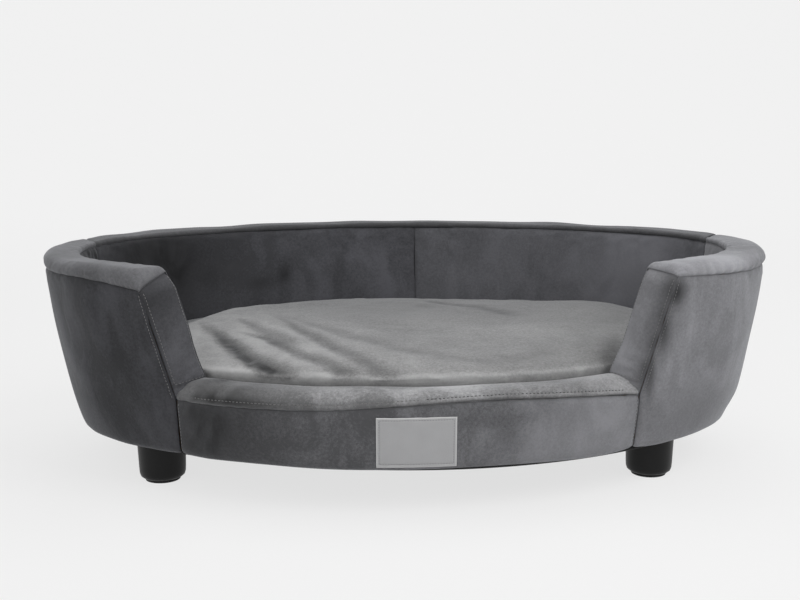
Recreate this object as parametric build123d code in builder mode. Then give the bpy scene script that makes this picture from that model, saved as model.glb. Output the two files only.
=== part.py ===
from build123d import *
import os
from math import atan2, cos, degrees, hypot, radians, sin, sqrt, tan

# An oval upholstered dog sofa: a padded wall open at the front, four round legs and a loose
# zipped cushion. Millimetres, +Z up, the open front faces -Y, and the origin lies on the floor
# under the middle of the bed. The model is drawn about the oval's centre, which is a little
# behind that middle, because the wall's widest line is open at the front.

os.makedirs("parts", exist_ok=True)

# Overall shape: the wall's widest line, seen from above, is an oval of four tangent arcs
bed_length = 900
bed_depth = 580
bed_height = 270
oval_end_radius = 214
wall_flare = 10  # degrees that the wall leans outwards

# Layers of the wall, from the outside to the inside
velvet = 2
outer_wadding_thickness = 8
wall_board = 3
frame_width = 15
inner_foam_thickness = 11
arm_foam_thickness = 8
arm_post_thickness = 12

# Heights of the layers, from the floor up
glide_height = 3
leg_length = 48.5
dust_cloth = 1
base_thickness = 12
rail_thickness = 12
deck_foam_thickness = 8
deck_cloth_thickness = 1.5
rim_band_height = 18
inner_band_height = 6
rim_round = 12
inner_rim_round = 5
bottom_round = 8
board_edge_ease = 2

# Front opening and sill
gap_half_width = 262  # at the sill seam, on the outer cloth
arm_face_turn = 43  # degrees, how far an arm's end face turns to the front
arm_face_lean = 9  # degrees that it leans back
sill_seam_height = 120
sill_roll_height = 20
sill_round = 13

# Hem and seams of the covers
hem_width = 32
back_seam_offset = 330  # outer cover, from the middle to each back seam
side_seam_offset = 372  # rim band and inner cover, where a side seam's line meets the X axis
side_seam_turn = 33  # degrees that the line turns outwards on its way back
centre_seam_offset = 22  # inner cover, the seam near the middle of the back
rim_foam_overlap = 2  # the rim foam starts this far below the rim seam

# Legs and what holds them
leg_top_radius = 29.5
leg_foot_radius = 28
leg_foot_round = 6
leg_half_spread = 298
leg_half_depth = 118
leg_boss_radius = 15
leg_bore_depth = 28
glide_radius = 21
bolt_radius = 4
thread_clearance = 0.05
tnut_barrel_radius = 5.5
tnut_barrel_length = 9
tnut_flange_radius = 11
tnut_flange_thickness = 1.5

# Screws, staples and posts
screw_radius = 2
screw_head_radius = 4
screw_head_height = 2.5
screw_length = 30
staple_wire = 0.7
staple_width = 12
staple_leg = 6
staple_inset = 26
staple_count = 32
staple_leg_clearance = 5
post_width = 40
post_count = 8
post_pitch_share = 0.088  # of the outline's length
sill_post_count = 3
sill_post_pitch_share = 0.06

# Label
label_width = 88
label_height = 58
label_thickness = 1.2
label_bottom = 57
label_offset = 7  # from the middle, towards +X

# Cushion
seat_clearance = 0.3
cushion_clearance = 2
cushion_thickness = 64  # from its underside to its upper seam
cushion_crown = 28
crown_fullness = 3  # exponent of the rounded outline that the crown follows
crown_shift = 80  # how far the crown's middle lies behind the cushion's
cushion_tuck = 9  # how far the underside's edge is drawn in below the lower seam
cushion_edge = 6  # height of that tuck
boxing_draw = 8  # how far the sides draw in between the seams
cushion_cloth = 1.5
crown_sections = 9  # from the upper seam up, the last one flat on top

# Zip in the back of the cushion's boxing
zip_half_angle = 20  # degrees each side of the back's middle, about the back arc's centre
zip_height_share = 0.66  # up the boxing
zip_tape_width = 16
zip_tape_thickness = 0.8
zip_chain_width = 5
zip_chain_thickness = 2
zip_stop_length = 3
zip_stop_width = 6.5
slider_length = 11
slider_width = 8.6
slider_front = 1  # thickness of its front plate
slider_clearance = 0.25
bail_radius = 0.6
bail_length = 7
bail_post = 1.2
pull_length = 18
pull_thickness = 1
pull_end_round = 1.5
pull_eye_clearance = 0.3
pull_eye_wall = 1

# Insets of the wall's layers from the outer cloth's face
wadding_face = velvet
board_face = wadding_face + outer_wadding_thickness
frame_face = board_face + wall_board
frame_back = frame_face + frame_width
inner_board_back = frame_back + wall_board
foam_back = inner_board_back + inner_foam_thickness
wall_thickness = foam_back + velvet

# Heights worked out from the layers
leg_top = glide_height + leg_length
hem_bottom = leg_top + dust_cloth
board_bottom = hem_bottom + velvet
board_top = board_bottom + base_thickness
post_foot = board_top + rail_thickness
rim_seam = bed_height - rim_band_height
inner_band_seam = bed_height - inner_band_height
rail_top = rim_seam - rim_foam_overlap
post_head = rail_top - rail_thickness
widest_height = bed_height - rim_round
foam_top = bed_height - velvet
sill_frame_top = sill_seam_height - velvet
sill_top = sill_seam_height + sill_roll_height
sill_foam_top = sill_top - velvet
deck_pad_top = board_top + deck_foam_thickness
deck_top = deck_pad_top + deck_cloth_thickness
arm_recess = velvet + arm_foam_thickness
leg_boss_height = dust_cloth + velvet
leg_points = [
    (side * leg_half_spread, end * leg_half_depth) for end in (-1, 1) for side in (-1, 1)
]


def oval_at(height, inset):
    """Half length, half depth and end radius of the wall's outline at a height."""
    shrink = (widest_height - height) * tan(radians(wall_flare)) + inset
    return bed_length / 2 - shrink, bed_depth / 2 - shrink, oval_end_radius - shrink


def side_arc(half_length, half_depth, end_radius):
    """Radius, centre distance and half angle of the oval's two long arcs."""
    end_centre = half_length - end_radius
    radius = (end_centre**2 + half_depth**2 - end_radius**2) / (2 * (half_depth - end_radius))
    centre = radius - half_depth
    return radius, centre, degrees(atan2(end_centre, centre))


def draw_oval(half_length, half_depth, end_radius):
    """Draw the oval's four arcs in the open BuildLine, from the front's left end round."""
    radius, centre, half_angle = side_arc(half_length, half_depth, end_radius)
    end_centre = half_length - end_radius
    end_angle = 180 - 2 * half_angle
    CenterArc((0, centre), radius, 270 - half_angle, 2 * half_angle)
    CenterArc((end_centre, 0), end_radius, -end_angle / 2, end_angle)
    CenterArc((0, -centre), radius, 90 - half_angle, 2 * half_angle)
    CenterArc((-end_centre, 0), end_radius, 180 - end_angle / 2, end_angle)


def flared_body(inset, low, high, low_round=0):
    """Solid inside the wall's outline, leaning as the wall does."""
    with BuildPart() as body:
        with BuildSketch(Plane.XY.offset(low)):
            with BuildLine():
                draw_oval(*oval_at(low, inset))
            make_face()
        extrude(amount=high - low, taper=-wall_flare)
        if low_round:
            fillet(body.faces().sort_by(Axis.Z)[0].edges(), low_round)
    return body.part


def flared_ring(outer_inset, inner_inset, low, high):
    """Closed ring between two insets of the wall's outline."""
    with BuildPart() as ring:
        add(flared_body(outer_inset, low, high))
        add(flared_body(inner_inset, low, high), mode=Mode.SUBTRACT)
    return ring.part


def padded_ring(outer_inset, inner_inset, low, high, outer_round, inner_round):
    """Closed ring whose two top edges are rounded."""
    with BuildPart() as ring:
        add(flared_ring(outer_inset, inner_inset, low, high))
        fillet(ring.faces().sort_by(Axis.Z)[-1].outer_wire().edges(), outer_round)
        fillet(ring.faces().sort_by(Axis.Z)[-1].inner_wires()[0].edges(), inner_round)
    return ring.part


def gap_corner():
    """Point where the right arm's end face meets the outer cloth at the sill seam."""
    radius, centre, _ = side_arc(*oval_at(sill_seam_height, 0))
    return Vector(gap_half_width, centre - sqrt(radius**2 - gap_half_width**2), sill_seam_height)


def between_arms(recess, lean, low, high):
    """Block between the two arms' end faces, which it may cut back by a recess."""
    turn, tilt = radians(arm_face_turn), radians(lean)
    corner = gap_corner()
    with BuildPart() as block:
        for side, mode in ((1, Mode.ADD), (-1, Mode.INTERSECT)):
            normal = Vector(-side * cos(turn) * cos(tilt), -sin(turn) * cos(tilt), sin(tilt))
            origin = Vector(side * corner.X, corner.Y, corner.Z) - normal * recess
            with BuildSketch(Plane(origin=origin, z_dir=normal)):
                Rectangle(2 * bed_length, 2 * bed_length)
            extrude(amount=bed_length, mode=mode)
        with BuildSketch(Plane.XY.offset(low)):
            Rectangle(2 * bed_length, 2 * bed_length)
        extrude(amount=high - low, mode=Mode.INTERSECT)
    return block.part


def arm_gap(recess):
    """The opening above the sill seam, its end faces leaning back."""
    return between_arms(recess, arm_face_lean, sill_seam_height, 2 * bed_height)


def sill_gap(low, high):
    """The stretch of wall below the sill seam, between upright seams."""
    return between_arms(0, 0, low, high)


def front_cut(recess, low_limit=0):
    """All that an open-fronted layer leaves out."""
    with BuildPart() as cut:
        add(arm_gap(recess))
        add(sill_gap(low_limit, sill_seam_height))
    return cut.part


def outline_place(height, inset, share):
    """Plane on the outline, a share of its length round from the back's middle, x along it."""
    with BuildLine() as outline:
        draw_oval(*oval_at(height, inset))
    arcs = outline.edges()
    path = Wire(arcs)
    start = arcs[0].length + arcs[1].length + arcs[2].length / 2
    length = (start + share * path.length) % path.length
    point = path.position_at(length, position_mode=PositionMode.LENGTH)
    along = path.tangent_at(length, position_mode=PositionMode.LENGTH)
    return Plane(origin=(point.X, point.Y, height), x_dir=along, z_dir=(0, 0, 1))


# The sill reaches less far forward than the rim reaches back
back_reach = oval_at(widest_height, 0)[1]
front_reach = oval_at(sill_top - sill_round, 0)[1]
to_bed_middle = Vector(0, (front_reach - back_reach) / 2, 0)


def write(piece, name):
    """Label a finished piece and write its STEP file, placed about the bed's middle."""
    placed = piece.part.moved(Location(to_bed_middle))
    placed.label = name
    export_step(placed, f"parts/{name}.step")


# Places of the posts and of the screws below them, and of the staples
post_shares = [(i - (post_count - 1) / 2) * post_pitch_share for i in range(post_count)]
sill_post_shares = [
    0.5 + (i - (sill_post_count - 1) / 2) * sill_post_pitch_share for i in range(sill_post_count)
]
frame_middle = (frame_face + frame_back) / 2
staple_planes = [
    plane
    for plane in (outline_place(leg_top, staple_inset, i / staple_count) for i in range(staple_count))
    if min(hypot(plane.origin.X - x, plane.origin.Y - y) for x, y in leg_points)
    > leg_top_radius + staple_width / 2 + staple_leg_clearance
]

# Frame screws, driven up through the base board and the bottom rail into the posts
with BuildPart() as frame_screws:
    for share in post_shares + sill_post_shares:
        place = outline_place(board_bottom, frame_middle, share)
        with BuildSketch(Plane(origin=place.origin, x_dir=(1, 0, 0), z_dir=(0, -1, 0))):
            with BuildLine():
                Polyline(
                    (0, 0),
                    (screw_head_radius, 0),
                    (screw_radius, screw_head_height),
                    (screw_radius, screw_length - screw_radius),
                    (0, screw_length),
                    close=True,
                )
            make_face()
        revolve(axis=Axis(place.origin, (0, 0, 1)))
write(frame_screws, "frame_screws")

# Staples of the dust cover: a crown below the cloth and two legs up into the board
with BuildPart() as dust_cover_staples:
    for plane in staple_planes:
        with BuildSketch(plane.offset(-staple_wire)):
            Rectangle(staple_width, staple_wire)
        extrude(amount=staple_wire)
        with BuildSketch(plane):
            with GridLocations(staple_width - staple_wire, 0, 2, 1):
                Rectangle(staple_wire, staple_wire)
        extrude(amount=staple_leg)
write(dust_cover_staples, "dust_cover_staples")

# Base board, with its T-nut bores
with BuildPart() as base_board:
    add(flared_body(frame_face, board_bottom, board_top))
    chamfer(base_board.faces().sort_by(Axis.Z)[0].edges(), board_edge_ease)
    with Locations(*[(x, y, board_top) for x, y in leg_points]):
        CounterBoreHole(tnut_barrel_radius, tnut_flange_radius, tnut_flange_thickness, base_thickness)
    add(frame_screws.part, mode=Mode.SUBTRACT)
    add(dust_cover_staples.part, mode=Mode.SUBTRACT)
write(base_board, "base_board")

# T-nuts, let in flush with the board's top
with BuildPart() as t_nuts:
    with BuildSketch(Plane.XY.offset(board_top - tnut_flange_thickness)):
        with Locations(*leg_points):
            Circle(tnut_flange_radius)
            Circle(bolt_radius + thread_clearance, mode=Mode.SUBTRACT)
    extrude(amount=tnut_flange_thickness)
    with BuildSketch(Plane.XY.offset(board_top - tnut_flange_thickness)):
        with Locations(*leg_points):
            Circle(tnut_barrel_radius)
            Circle(bolt_radius + thread_clearance, mode=Mode.SUBTRACT)
    extrude(amount=-tnut_barrel_length)
write(t_nuts, "t_nuts")

# Leg bolts, from the foot of each leg's bore to the top of its T-nut
bolt_foot = leg_top + leg_boss_height - leg_bore_depth
with BuildPart() as leg_bolts:
    with BuildSketch(Plane.XY.offset(bolt_foot)):
        with Locations(*leg_points):
            Circle(bolt_radius)
    extrude(amount=board_top - bolt_foot)
write(leg_bolts, "leg_bolts")

# Legs: tapered, round at the foot, with a boss that seats on the base board
leg_names = ("leg_front_left", "leg_front_right", "leg_rear_left", "leg_rear_right")
for leg_name, (leg_x, leg_y) in zip(leg_names, leg_points):
    leg_plane = Plane(origin=(leg_x, leg_y, glide_height), x_dir=(1, 0, 0), z_dir=(0, -1, 0))
    with BuildPart() as leg:
        with BuildSketch(leg_plane):
            with BuildLine():
                Polyline(
                    (0, 0),
                    (leg_foot_radius, 0),
                    (leg_top_radius, leg_length),
                    (leg_boss_radius, leg_length),
                    (leg_boss_radius, leg_length + leg_boss_height),
                    (0, leg_length + leg_boss_height),
                    close=True,
                )
            foot_face = make_face()
            fillet(foot_face.vertices().group_by(Axis.Z)[0].sort_by(Axis.X)[-1], leg_foot_round)
        revolve(axis=Axis(leg_plane.origin, (0, 0, 1)))
        with Locations((leg_x, leg_y, leg_top + leg_boss_height)):
            Hole(bolt_radius + thread_clearance, leg_bore_depth)
    write(leg, leg_name)

# Glides under the legs
with BuildPart() as leg_glides:
    with BuildSketch():
        with Locations(*leg_points):
            Circle(glide_radius)
    extrude(amount=glide_height)
write(leg_glides, "leg_glides")

# Dust cover under the board, with holes for the legs' bosses
with BuildPart() as dust_cover:
    with BuildSketch(Plane.XY.offset(leg_top)):
        with BuildLine():
            draw_oval(*oval_at(leg_top, bottom_round + velvet))
        make_face()
        with Locations(*leg_points):
            Circle(leg_boss_radius, mode=Mode.SUBTRACT)
    extrude(amount=dust_cloth)
    add(dust_cover_staples.part, mode=Mode.SUBTRACT)
write(dust_cover, "dust_cover")

# Frame: bottom rail all round, top rail open at the front, posts between them
with BuildPart() as wall_bottom_rail:
    add(flared_ring(frame_face, frame_back, board_top, post_foot))
    add(frame_screws.part, mode=Mode.SUBTRACT)
write(wall_bottom_rail, "wall_bottom_rail")

with BuildPart() as wall_top_rail:
    add(flared_ring(frame_face, frame_back, post_head, rail_top))
    add(front_cut(arm_recess), mode=Mode.SUBTRACT)
write(wall_top_rail, "wall_top_rail")


def frame_posts(shares, low, high):
    """Posts of the frame at shares of the outline."""
    with BuildPart() as posts:
        for share in shares:
            with BuildSketch(outline_place(low, frame_middle, share)):
                Rectangle(post_width, wall_thickness * 2)
            extrude(amount=high - low)
        add(flared_ring(frame_face, frame_back, low, high), mode=Mode.INTERSECT)
        add(frame_screws.part, mode=Mode.SUBTRACT)
    return posts.part


with BuildPart() as wall_posts:
    add(frame_posts(post_shares, post_foot, post_head))
write(wall_posts, "wall_posts")

with BuildPart() as post_reach:
    add(arm_gap(arm_recess + arm_post_thickness))
    add(between_arms(arm_post_thickness, 0, post_foot, sill_seam_height))

with BuildPart() as arm_end_posts:
    add(flared_ring(frame_face, frame_back, post_foot, post_head))
    add(front_cut(arm_recess), mode=Mode.SUBTRACT)
    add(post_reach.part, mode=Mode.INTERSECT)
write(arm_end_posts, "arm_end_posts")

sill_rail_foot = sill_frame_top - rail_thickness
with BuildPart() as sill_rail:
    add(flared_ring(frame_face, frame_back, sill_rail_foot, sill_frame_top))
    add(sill_gap(0, bed_height), mode=Mode.INTERSECT)
write(sill_rail, "sill_rail")

with BuildPart() as sill_posts:
    add(frame_posts(sill_post_shares, post_foot, sill_rail_foot))
write(sill_posts, "sill_posts")

# Boards that face the frame, outside and inside
with BuildPart() as outer_wall_board:
    add(flared_ring(board_face, frame_face, board_bottom, rail_top))
    add(front_cut(arm_recess), mode=Mode.SUBTRACT)
write(outer_wall_board, "outer_wall_board")

with BuildPart() as front_board:
    add(flared_ring(board_face, frame_face, board_bottom, sill_frame_top))
    add(sill_gap(0, bed_height), mode=Mode.INTERSECT)
write(front_board, "front_board")

with BuildPart() as inner_wall_board:
    add(flared_ring(frame_back, inner_board_back, board_top, rail_top))
    add(front_cut(arm_recess), mode=Mode.SUBTRACT)
write(inner_wall_board, "inner_wall_board")

with BuildPart() as sill_inner_board:
    add(flared_ring(frame_back, inner_board_back, board_top, sill_frame_top))
    add(sill_gap(0, bed_height), mode=Mode.INTERSECT)
write(sill_inner_board, "sill_inner_board")

# Paddings
with BuildPart() as inner_wall_foam:
    add(flared_ring(inner_board_back, foam_back, board_top, rail_top))
    add(front_cut(arm_recess), mode=Mode.SUBTRACT)
write(inner_wall_foam, "inner_wall_foam")


def wadding_ring(high):
    """Wadding outside the boards, rounded at its lower edge as the cover is."""
    with BuildPart() as ring:
        add(flared_body(wadding_face, board_bottom, high, low_round=bottom_round - velvet))
        add(flared_body(board_face, board_bottom, high), mode=Mode.SUBTRACT)
    return ring.part


with BuildPart() as outer_wadding:
    add(wadding_ring(rail_top))
    add(front_cut(arm_recess), mode=Mode.SUBTRACT)
write(outer_wadding, "outer_wadding")

with BuildPart() as front_wadding:
    add(wadding_ring(sill_frame_top))
    add(sill_gap(0, bed_height), mode=Mode.INTERSECT)
write(front_wadding, "front_wadding")

with BuildPart() as rim_foam:
    add(padded_ring(wadding_face, foam_back, rail_top, foam_top, rim_round - velvet,
                    inner_rim_round - velvet))
    add(front_cut(velvet), mode=Mode.SUBTRACT)
write(rim_foam, "rim_foam")

with BuildPart() as sill_reach:
    add(arm_gap(0))
    add(sill_gap(0, sill_seam_height))

with BuildPart() as sill_foam:
    add(padded_ring(wadding_face, foam_back, sill_frame_top, sill_foam_top, sill_round - velvet,
                    sill_round - velvet))
    add(flared_ring(inner_board_back, foam_back, board_top, sill_frame_top))
    add(sill_reach.part, mode=Mode.INTERSECT)
write(sill_foam, "sill_foam")

# Foam on each arm's end face
for side, arm_name in ((-1, "left"), (1, "right")):
    with BuildPart() as arm_end_foam:
        add(flared_ring(wadding_face, foam_back, sill_frame_top, rail_top))
        add(arm_gap(arm_recess), mode=Mode.INTERSECT)
        add(arm_gap(velvet), mode=Mode.SUBTRACT)
        split(bisect_by=Plane.YZ, keep=Keep.TOP if side > 0 else Keep.BOTTOM)
    write(arm_end_foam, f"arm_end_foam_{arm_name}")

# Covers
with BuildPart() as cover_shell:
    add(flared_body(0, hem_bottom, rim_seam, low_round=bottom_round))
    add(flared_body(velvet, board_bottom, rim_seam, low_round=bottom_round - velvet),
        mode=Mode.SUBTRACT)
    with BuildSketch(Plane.XY.offset(hem_bottom)):
        with BuildLine():
            draw_oval(*oval_at(hem_bottom, hem_width))
        make_face()
        with Locations(*leg_points):
            Circle(leg_boss_radius)
    extrude(amount=velvet, mode=Mode.SUBTRACT)
    add(dust_cover_staples.part, mode=Mode.SUBTRACT)

with BuildPart() as outer_cover_front:
    add(cover_shell.part)
    add(sill_gap(0, sill_seam_height), mode=Mode.INTERSECT)
write(outer_cover_front, "outer_cover_front")

with BuildPart() as open_cover:
    add(cover_shell.part)
    add(front_cut(velvet), mode=Mode.SUBTRACT)

with BuildPart() as outer_cover_back:
    add(open_cover.part)
    with BuildSketch():
        with Locations((0, bed_depth / 2)):
            Rectangle(2 * back_seam_offset, bed_depth)
    extrude(amount=bed_height, mode=Mode.INTERSECT)
write(outer_cover_back, "outer_cover_back")

for side, arm_name in ((-1, "left"), (1, "right")):
    with BuildPart() as outer_cover_side:
        add(open_cover.part)
        with BuildSketch():
            with Locations((0, bed_depth / 2)):
                Rectangle(2 * back_seam_offset, bed_depth)
        extrude(amount=bed_height, mode=Mode.SUBTRACT)
        split(bisect_by=Plane.YZ, keep=Keep.TOP if side > 0 else Keep.BOTTOM)
    write(outer_cover_side, f"outer_cover_{arm_name}")

with BuildPart() as inner_shell:
    add(flared_ring(foam_back, wall_thickness, board_top, inner_band_seam))
    add(front_cut(velvet), mode=Mode.SUBTRACT)

# Rim band: goes over the rim foam and closes the arms' upper ends
with BuildPart() as rim_shell:
    add(padded_ring(0, wall_thickness, rim_seam, bed_height, rim_round, inner_rim_round))
    add(front_cut(0), mode=Mode.SUBTRACT)
    add(rim_foam.part, mode=Mode.SUBTRACT)
    add(inner_shell.part, mode=Mode.SUBTRACT)

# Block behind the middle, between the two side seams
seam_spread = side_seam_offset + bed_depth * tan(radians(side_seam_turn))
with BuildPart() as back_block:
    with BuildSketch():
        Polygon(
            (-side_seam_offset, 0),
            (side_seam_offset, 0),
            (seam_spread, bed_depth),
            (-seam_spread, bed_depth),
            align=None,
        )
    extrude(amount=2 * bed_height)

with BuildPart() as rim_band_back:
    add(rim_shell.part)
    add(back_block.part, mode=Mode.INTERSECT)
write(rim_band_back, "rim_band_back")

for side, arm_name in ((-1, "left"), (1, "right")):
    side_half = Keep.TOP if side > 0 else Keep.BOTTOM
    with BuildPart() as rim_band_side:
        add(rim_shell.part)
        add(back_block.part, mode=Mode.SUBTRACT)
        split(bisect_by=Plane.YZ, keep=side_half)
    write(rim_band_side, f"rim_band_{arm_name}")

    with BuildPart() as inner_cover_side:
        add(inner_shell.part)
        add(back_block.part, mode=Mode.SUBTRACT)
        split(bisect_by=Plane.YZ, keep=side_half)
    write(inner_cover_side, f"inner_cover_{arm_name}")

    with BuildPart() as inner_cover_back:
        add(inner_shell.part)
        add(back_block.part, mode=Mode.INTERSECT)
        split(bisect_by=Plane.YZ.offset(centre_seam_offset), keep=side_half)
    write(inner_cover_back, f"inner_cover_back_{arm_name}")

    with BuildPart() as arm_gusset:
        add(flared_ring(0, wall_thickness, sill_seam_height, rim_seam))
        add(arm_gap(velvet), mode=Mode.INTERSECT)
        add(arm_gap(0), mode=Mode.SUBTRACT)
        split(bisect_by=Plane.YZ, keep=side_half)
    write(arm_gusset, f"arm_gusset_{arm_name}")

# Sill cover: over the roll between the arms and down its inner side to the board
with BuildPart() as sill_cover:
    add(padded_ring(0, wall_thickness, sill_seam_height, sill_top, sill_round, sill_round))
    add(flared_ring(foam_back, wall_thickness, board_top, sill_seam_height))
    add(sill_reach.part, mode=Mode.INTERSECT)
    add(sill_foam.part, mode=Mode.SUBTRACT)
write(sill_cover, "sill_cover")

# Label patch on the front
label_top = label_bottom + label_height
with BuildPart() as label_patch:
    add(flared_ring(-label_thickness, 0, label_bottom, label_top))
    with BuildSketch():
        with Locations((label_offset, -bed_depth / 2)):
            Rectangle(label_width, bed_depth)
    extrude(amount=bed_height, mode=Mode.INTERSECT)
write(label_patch, "label_patch")

# Seat deck under the cushion
with BuildPart() as deck_pad:
    add(flared_body(wall_thickness, board_top, deck_pad_top))
write(deck_pad, "deck_pad")

with BuildPart() as deck_cloth_sheet:
    add(flared_body(wall_thickness, deck_pad_top, deck_top))
write(deck_cloth_sheet, "deck_cloth")

# Cushion
cushion_inset = wall_thickness + cushion_clearance
cushion_bottom = deck_top + seat_clearance
lower_seam = cushion_bottom + cushion_edge
upper_seam = cushion_bottom + cushion_thickness
boxing_middle = (lower_seam + upper_seam) / 2


def cushion_body(cloth):
    """The cushion's solid, drawn in by a cloth's thickness."""
    seam_oval = oval_at(upper_seam, cushion_inset + cloth)
    with BuildPart() as body:
        for height, inset in ((cushion_bottom + cloth, cushion_tuck + cloth), (lower_seam, cloth)):
            with BuildSketch(Plane.XY.offset(height)):
                with BuildLine():
                    draw_oval(*oval_at(lower_seam, cushion_inset + inset))
                make_face()
        loft(ruled=True)
        for height, draw in ((lower_seam, 0), (boxing_middle, boxing_draw), (upper_seam, 0)):
            with BuildSketch(Plane.XY.offset(height)):
                with BuildLine():
                    draw_oval(*oval_at(height, cushion_inset + draw + cloth))
                make_face()
        loft()
        for i in range(crown_sections):
            turn = radians(90 * i / crown_sections)
            width_share = cos(turn) ** (2 / crown_fullness)
            rise_share = sin(turn) ** (2 / crown_fullness)
            height = upper_seam + rise_share * (cushion_crown - cloth)
            with BuildSketch(Plane((0, crown_shift * (1 - width_share), height))):
                with BuildLine():
                    draw_oval(*(size * width_share for size in seam_oval))
                make_face()
        loft(ruled=True)
    return body.part


# Zip: everything on it is swept round the back arc's centre, or placed square to the tape
zip_height = lower_seam + zip_height_share * (upper_seam - lower_seam)
zip_oval = oval_at(zip_height, cushion_inset + boxing_draw)
zip_radius, zip_centre, _ = side_arc(*zip_oval)
zip_axis = Axis((0, -zip_centre, 0), (0, 0, 1))


def zip_strip(start, sweep, inner, outer, width):
    """Strip from an inner to an outer distance off the tape's face, swept from an angle."""
    angle = radians(start + sweep)
    place = Plane(
        origin=(0, -zip_centre, zip_height),
        x_dir=(sin(angle), cos(angle), 0),
        z_dir=(cos(angle), -sin(angle), 0),
    )
    with BuildPart() as strip:
        with BuildSketch(place):
            with Locations(Location((zip_radius, 0), -wall_flare)):
                with Locations(((inner + outer) / 2, 0)):
                    Rectangle(outer - inner, width)
        revolve(axis=zip_axis, revolution_arc=sweep)
    return strip.part


def zip_arc(length):
    """Angle that a length takes along the zip."""
    return degrees(length / zip_radius)


zip_start, zip_sweep = -zip_half_angle, 2 * zip_half_angle
stop_sweep = zip_arc(zip_stop_length)
chain_sweep = zip_sweep - 2 * stop_sweep

with BuildPart() as zip_tape:
    add(zip_strip(zip_start, zip_sweep, -zip_tape_thickness, 0, zip_tape_width))
write(zip_tape, "zip_tape")

with BuildPart() as zip_teeth:
    add(zip_strip(zip_start + stop_sweep, chain_sweep, 0, zip_chain_thickness, zip_chain_width))
write(zip_teeth, "zip_teeth")

with BuildPart() as zip_stops:
    for start in (zip_start, zip_half_angle - stop_sweep):
        add(zip_strip(start, stop_sweep, 0, zip_chain_thickness, zip_stop_width))
write(zip_stops, "zip_stops")

# Slider at the zip's closed end: a channel over the chain, with a bail for the pull
slider_sweep = zip_arc(slider_length)
slider_start = zip_half_angle - stop_sweep - zip_arc(slider_clearance) - slider_sweep
slider_roof = zip_chain_thickness + slider_clearance
slider_face = slider_roof + slider_front
channel_width = zip_chain_width + 2 * slider_clearance
pull_eye_radius = bail_radius + pull_eye_clearance + pull_eye_wall
bail_rise = pull_eye_radius + pull_eye_clearance
pull_width = bail_length - 2 * (bail_post + pull_eye_clearance)
slider_angle = radians(slider_start + slider_sweep / 2)
lean = radians(wall_flare)
slider_along = Vector(cos(slider_angle), -sin(slider_angle), 0)
slider_out = Vector(sin(slider_angle) * cos(lean), cos(slider_angle) * cos(lean), -sin(lean))
slider_up = slider_along.cross(slider_out)
slider_origin = Vector(
    zip_radius * sin(slider_angle), zip_radius * cos(slider_angle) - zip_centre, zip_height
)
bail_centre = slider_origin + slider_out * (slider_face + bail_rise)
bail_plane = Plane(origin=bail_centre, x_dir=slider_up, z_dir=slider_along)

with BuildPart() as zip_slider:
    add(zip_strip(slider_start, slider_sweep, slider_clearance, slider_face, slider_width))
    add(
        zip_strip(slider_start - slider_sweep, 3 * slider_sweep, 0, slider_roof, channel_width),
        mode=Mode.SUBTRACT,
    )
    post_spread = bail_length - bail_post
    with BuildSketch(Plane(origin=bail_centre, x_dir=slider_along, z_dir=slider_out)):
        with GridLocations(post_spread, 0, 2, 1):
            Rectangle(bail_post, 2 * bail_radius)
    extrude(amount=-bail_rise - slider_clearance)
    with BuildSketch(bail_plane):
        Circle(bail_radius)
    extrude(amount=bail_length / 2, both=True)
write(zip_slider, "zip_slider")

# Pull tab: an eye round the bail and a plate that hangs down the boxing
with BuildPart() as zip_pull:
    with BuildSketch(bail_plane):
        Circle(pull_eye_radius)
        with Locations((-pull_length / 2, 0)):
            Rectangle(pull_length, pull_thickness)
        Circle(bail_radius + pull_eye_clearance, mode=Mode.SUBTRACT)
    extrude(amount=pull_width / 2, both=True)
    far_end = Plane(origin=bail_centre - slider_up * pull_length, z_dir=slider_up)
    fillet(
        zip_pull.edges().filter_by(lambda edge: edge.length < 2 * pull_thickness)
        .sort_by(lambda edge: far_end.to_local_coords(edge.center()).Z)[:2],
        pull_end_round,
    )
write(zip_pull, "zip_pull")

slider_travel = chain_sweep - slider_sweep - 2 * zip_arc(slider_clearance)
print("zip axis", zip_axis.position + to_bed_middle, "slider travel", slider_travel)
print("bail centre", bail_centre + to_bed_middle, "pull axis", slider_along)

# Cushion core and its cover, cut at the seams, with the zip's slot in the boxing
slot = zip_strip(zip_start, zip_sweep, -zip_tape_thickness, boxing_draw, zip_tape_width)
with BuildPart() as cushion_core:
    add(cushion_body(cushion_cloth))
    add(slot, mode=Mode.SUBTRACT)
write(cushion_core, "cushion_core")

with BuildPart() as cover_skin:
    add(cushion_body(0))
    add(cushion_body(cushion_cloth), mode=Mode.SUBTRACT)
    add(slot, mode=Mode.SUBTRACT)

cover_spans = {
    "cushion_cover_bottom": (cushion_bottom, lower_seam),
    "cushion_boxing": (lower_seam, upper_seam),
    "cushion_cover_top": (upper_seam, upper_seam + cushion_crown),
}
for panel_name, (panel_low, panel_high) in cover_spans.items():
    with BuildPart() as cover_panel:
        add(cover_skin.part)
        with BuildSketch(Plane.XY.offset(panel_low)):
            Rectangle(bed_length, bed_depth)
        extrude(amount=panel_high - panel_low, mode=Mode.INTERSECT)
    write(cover_panel, panel_name)
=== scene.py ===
"""Looks of an oval upholstered dog sofa bed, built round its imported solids."""

import logging
import math
from collections.abc import Callable, Iterator, Sequence
from contextlib import contextmanager
from dataclasses import dataclass, field
from enum import Enum
from typing import ClassVar

import bmesh
import bpy
import numpy as np
from mathutils import Matrix, Vector


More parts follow.
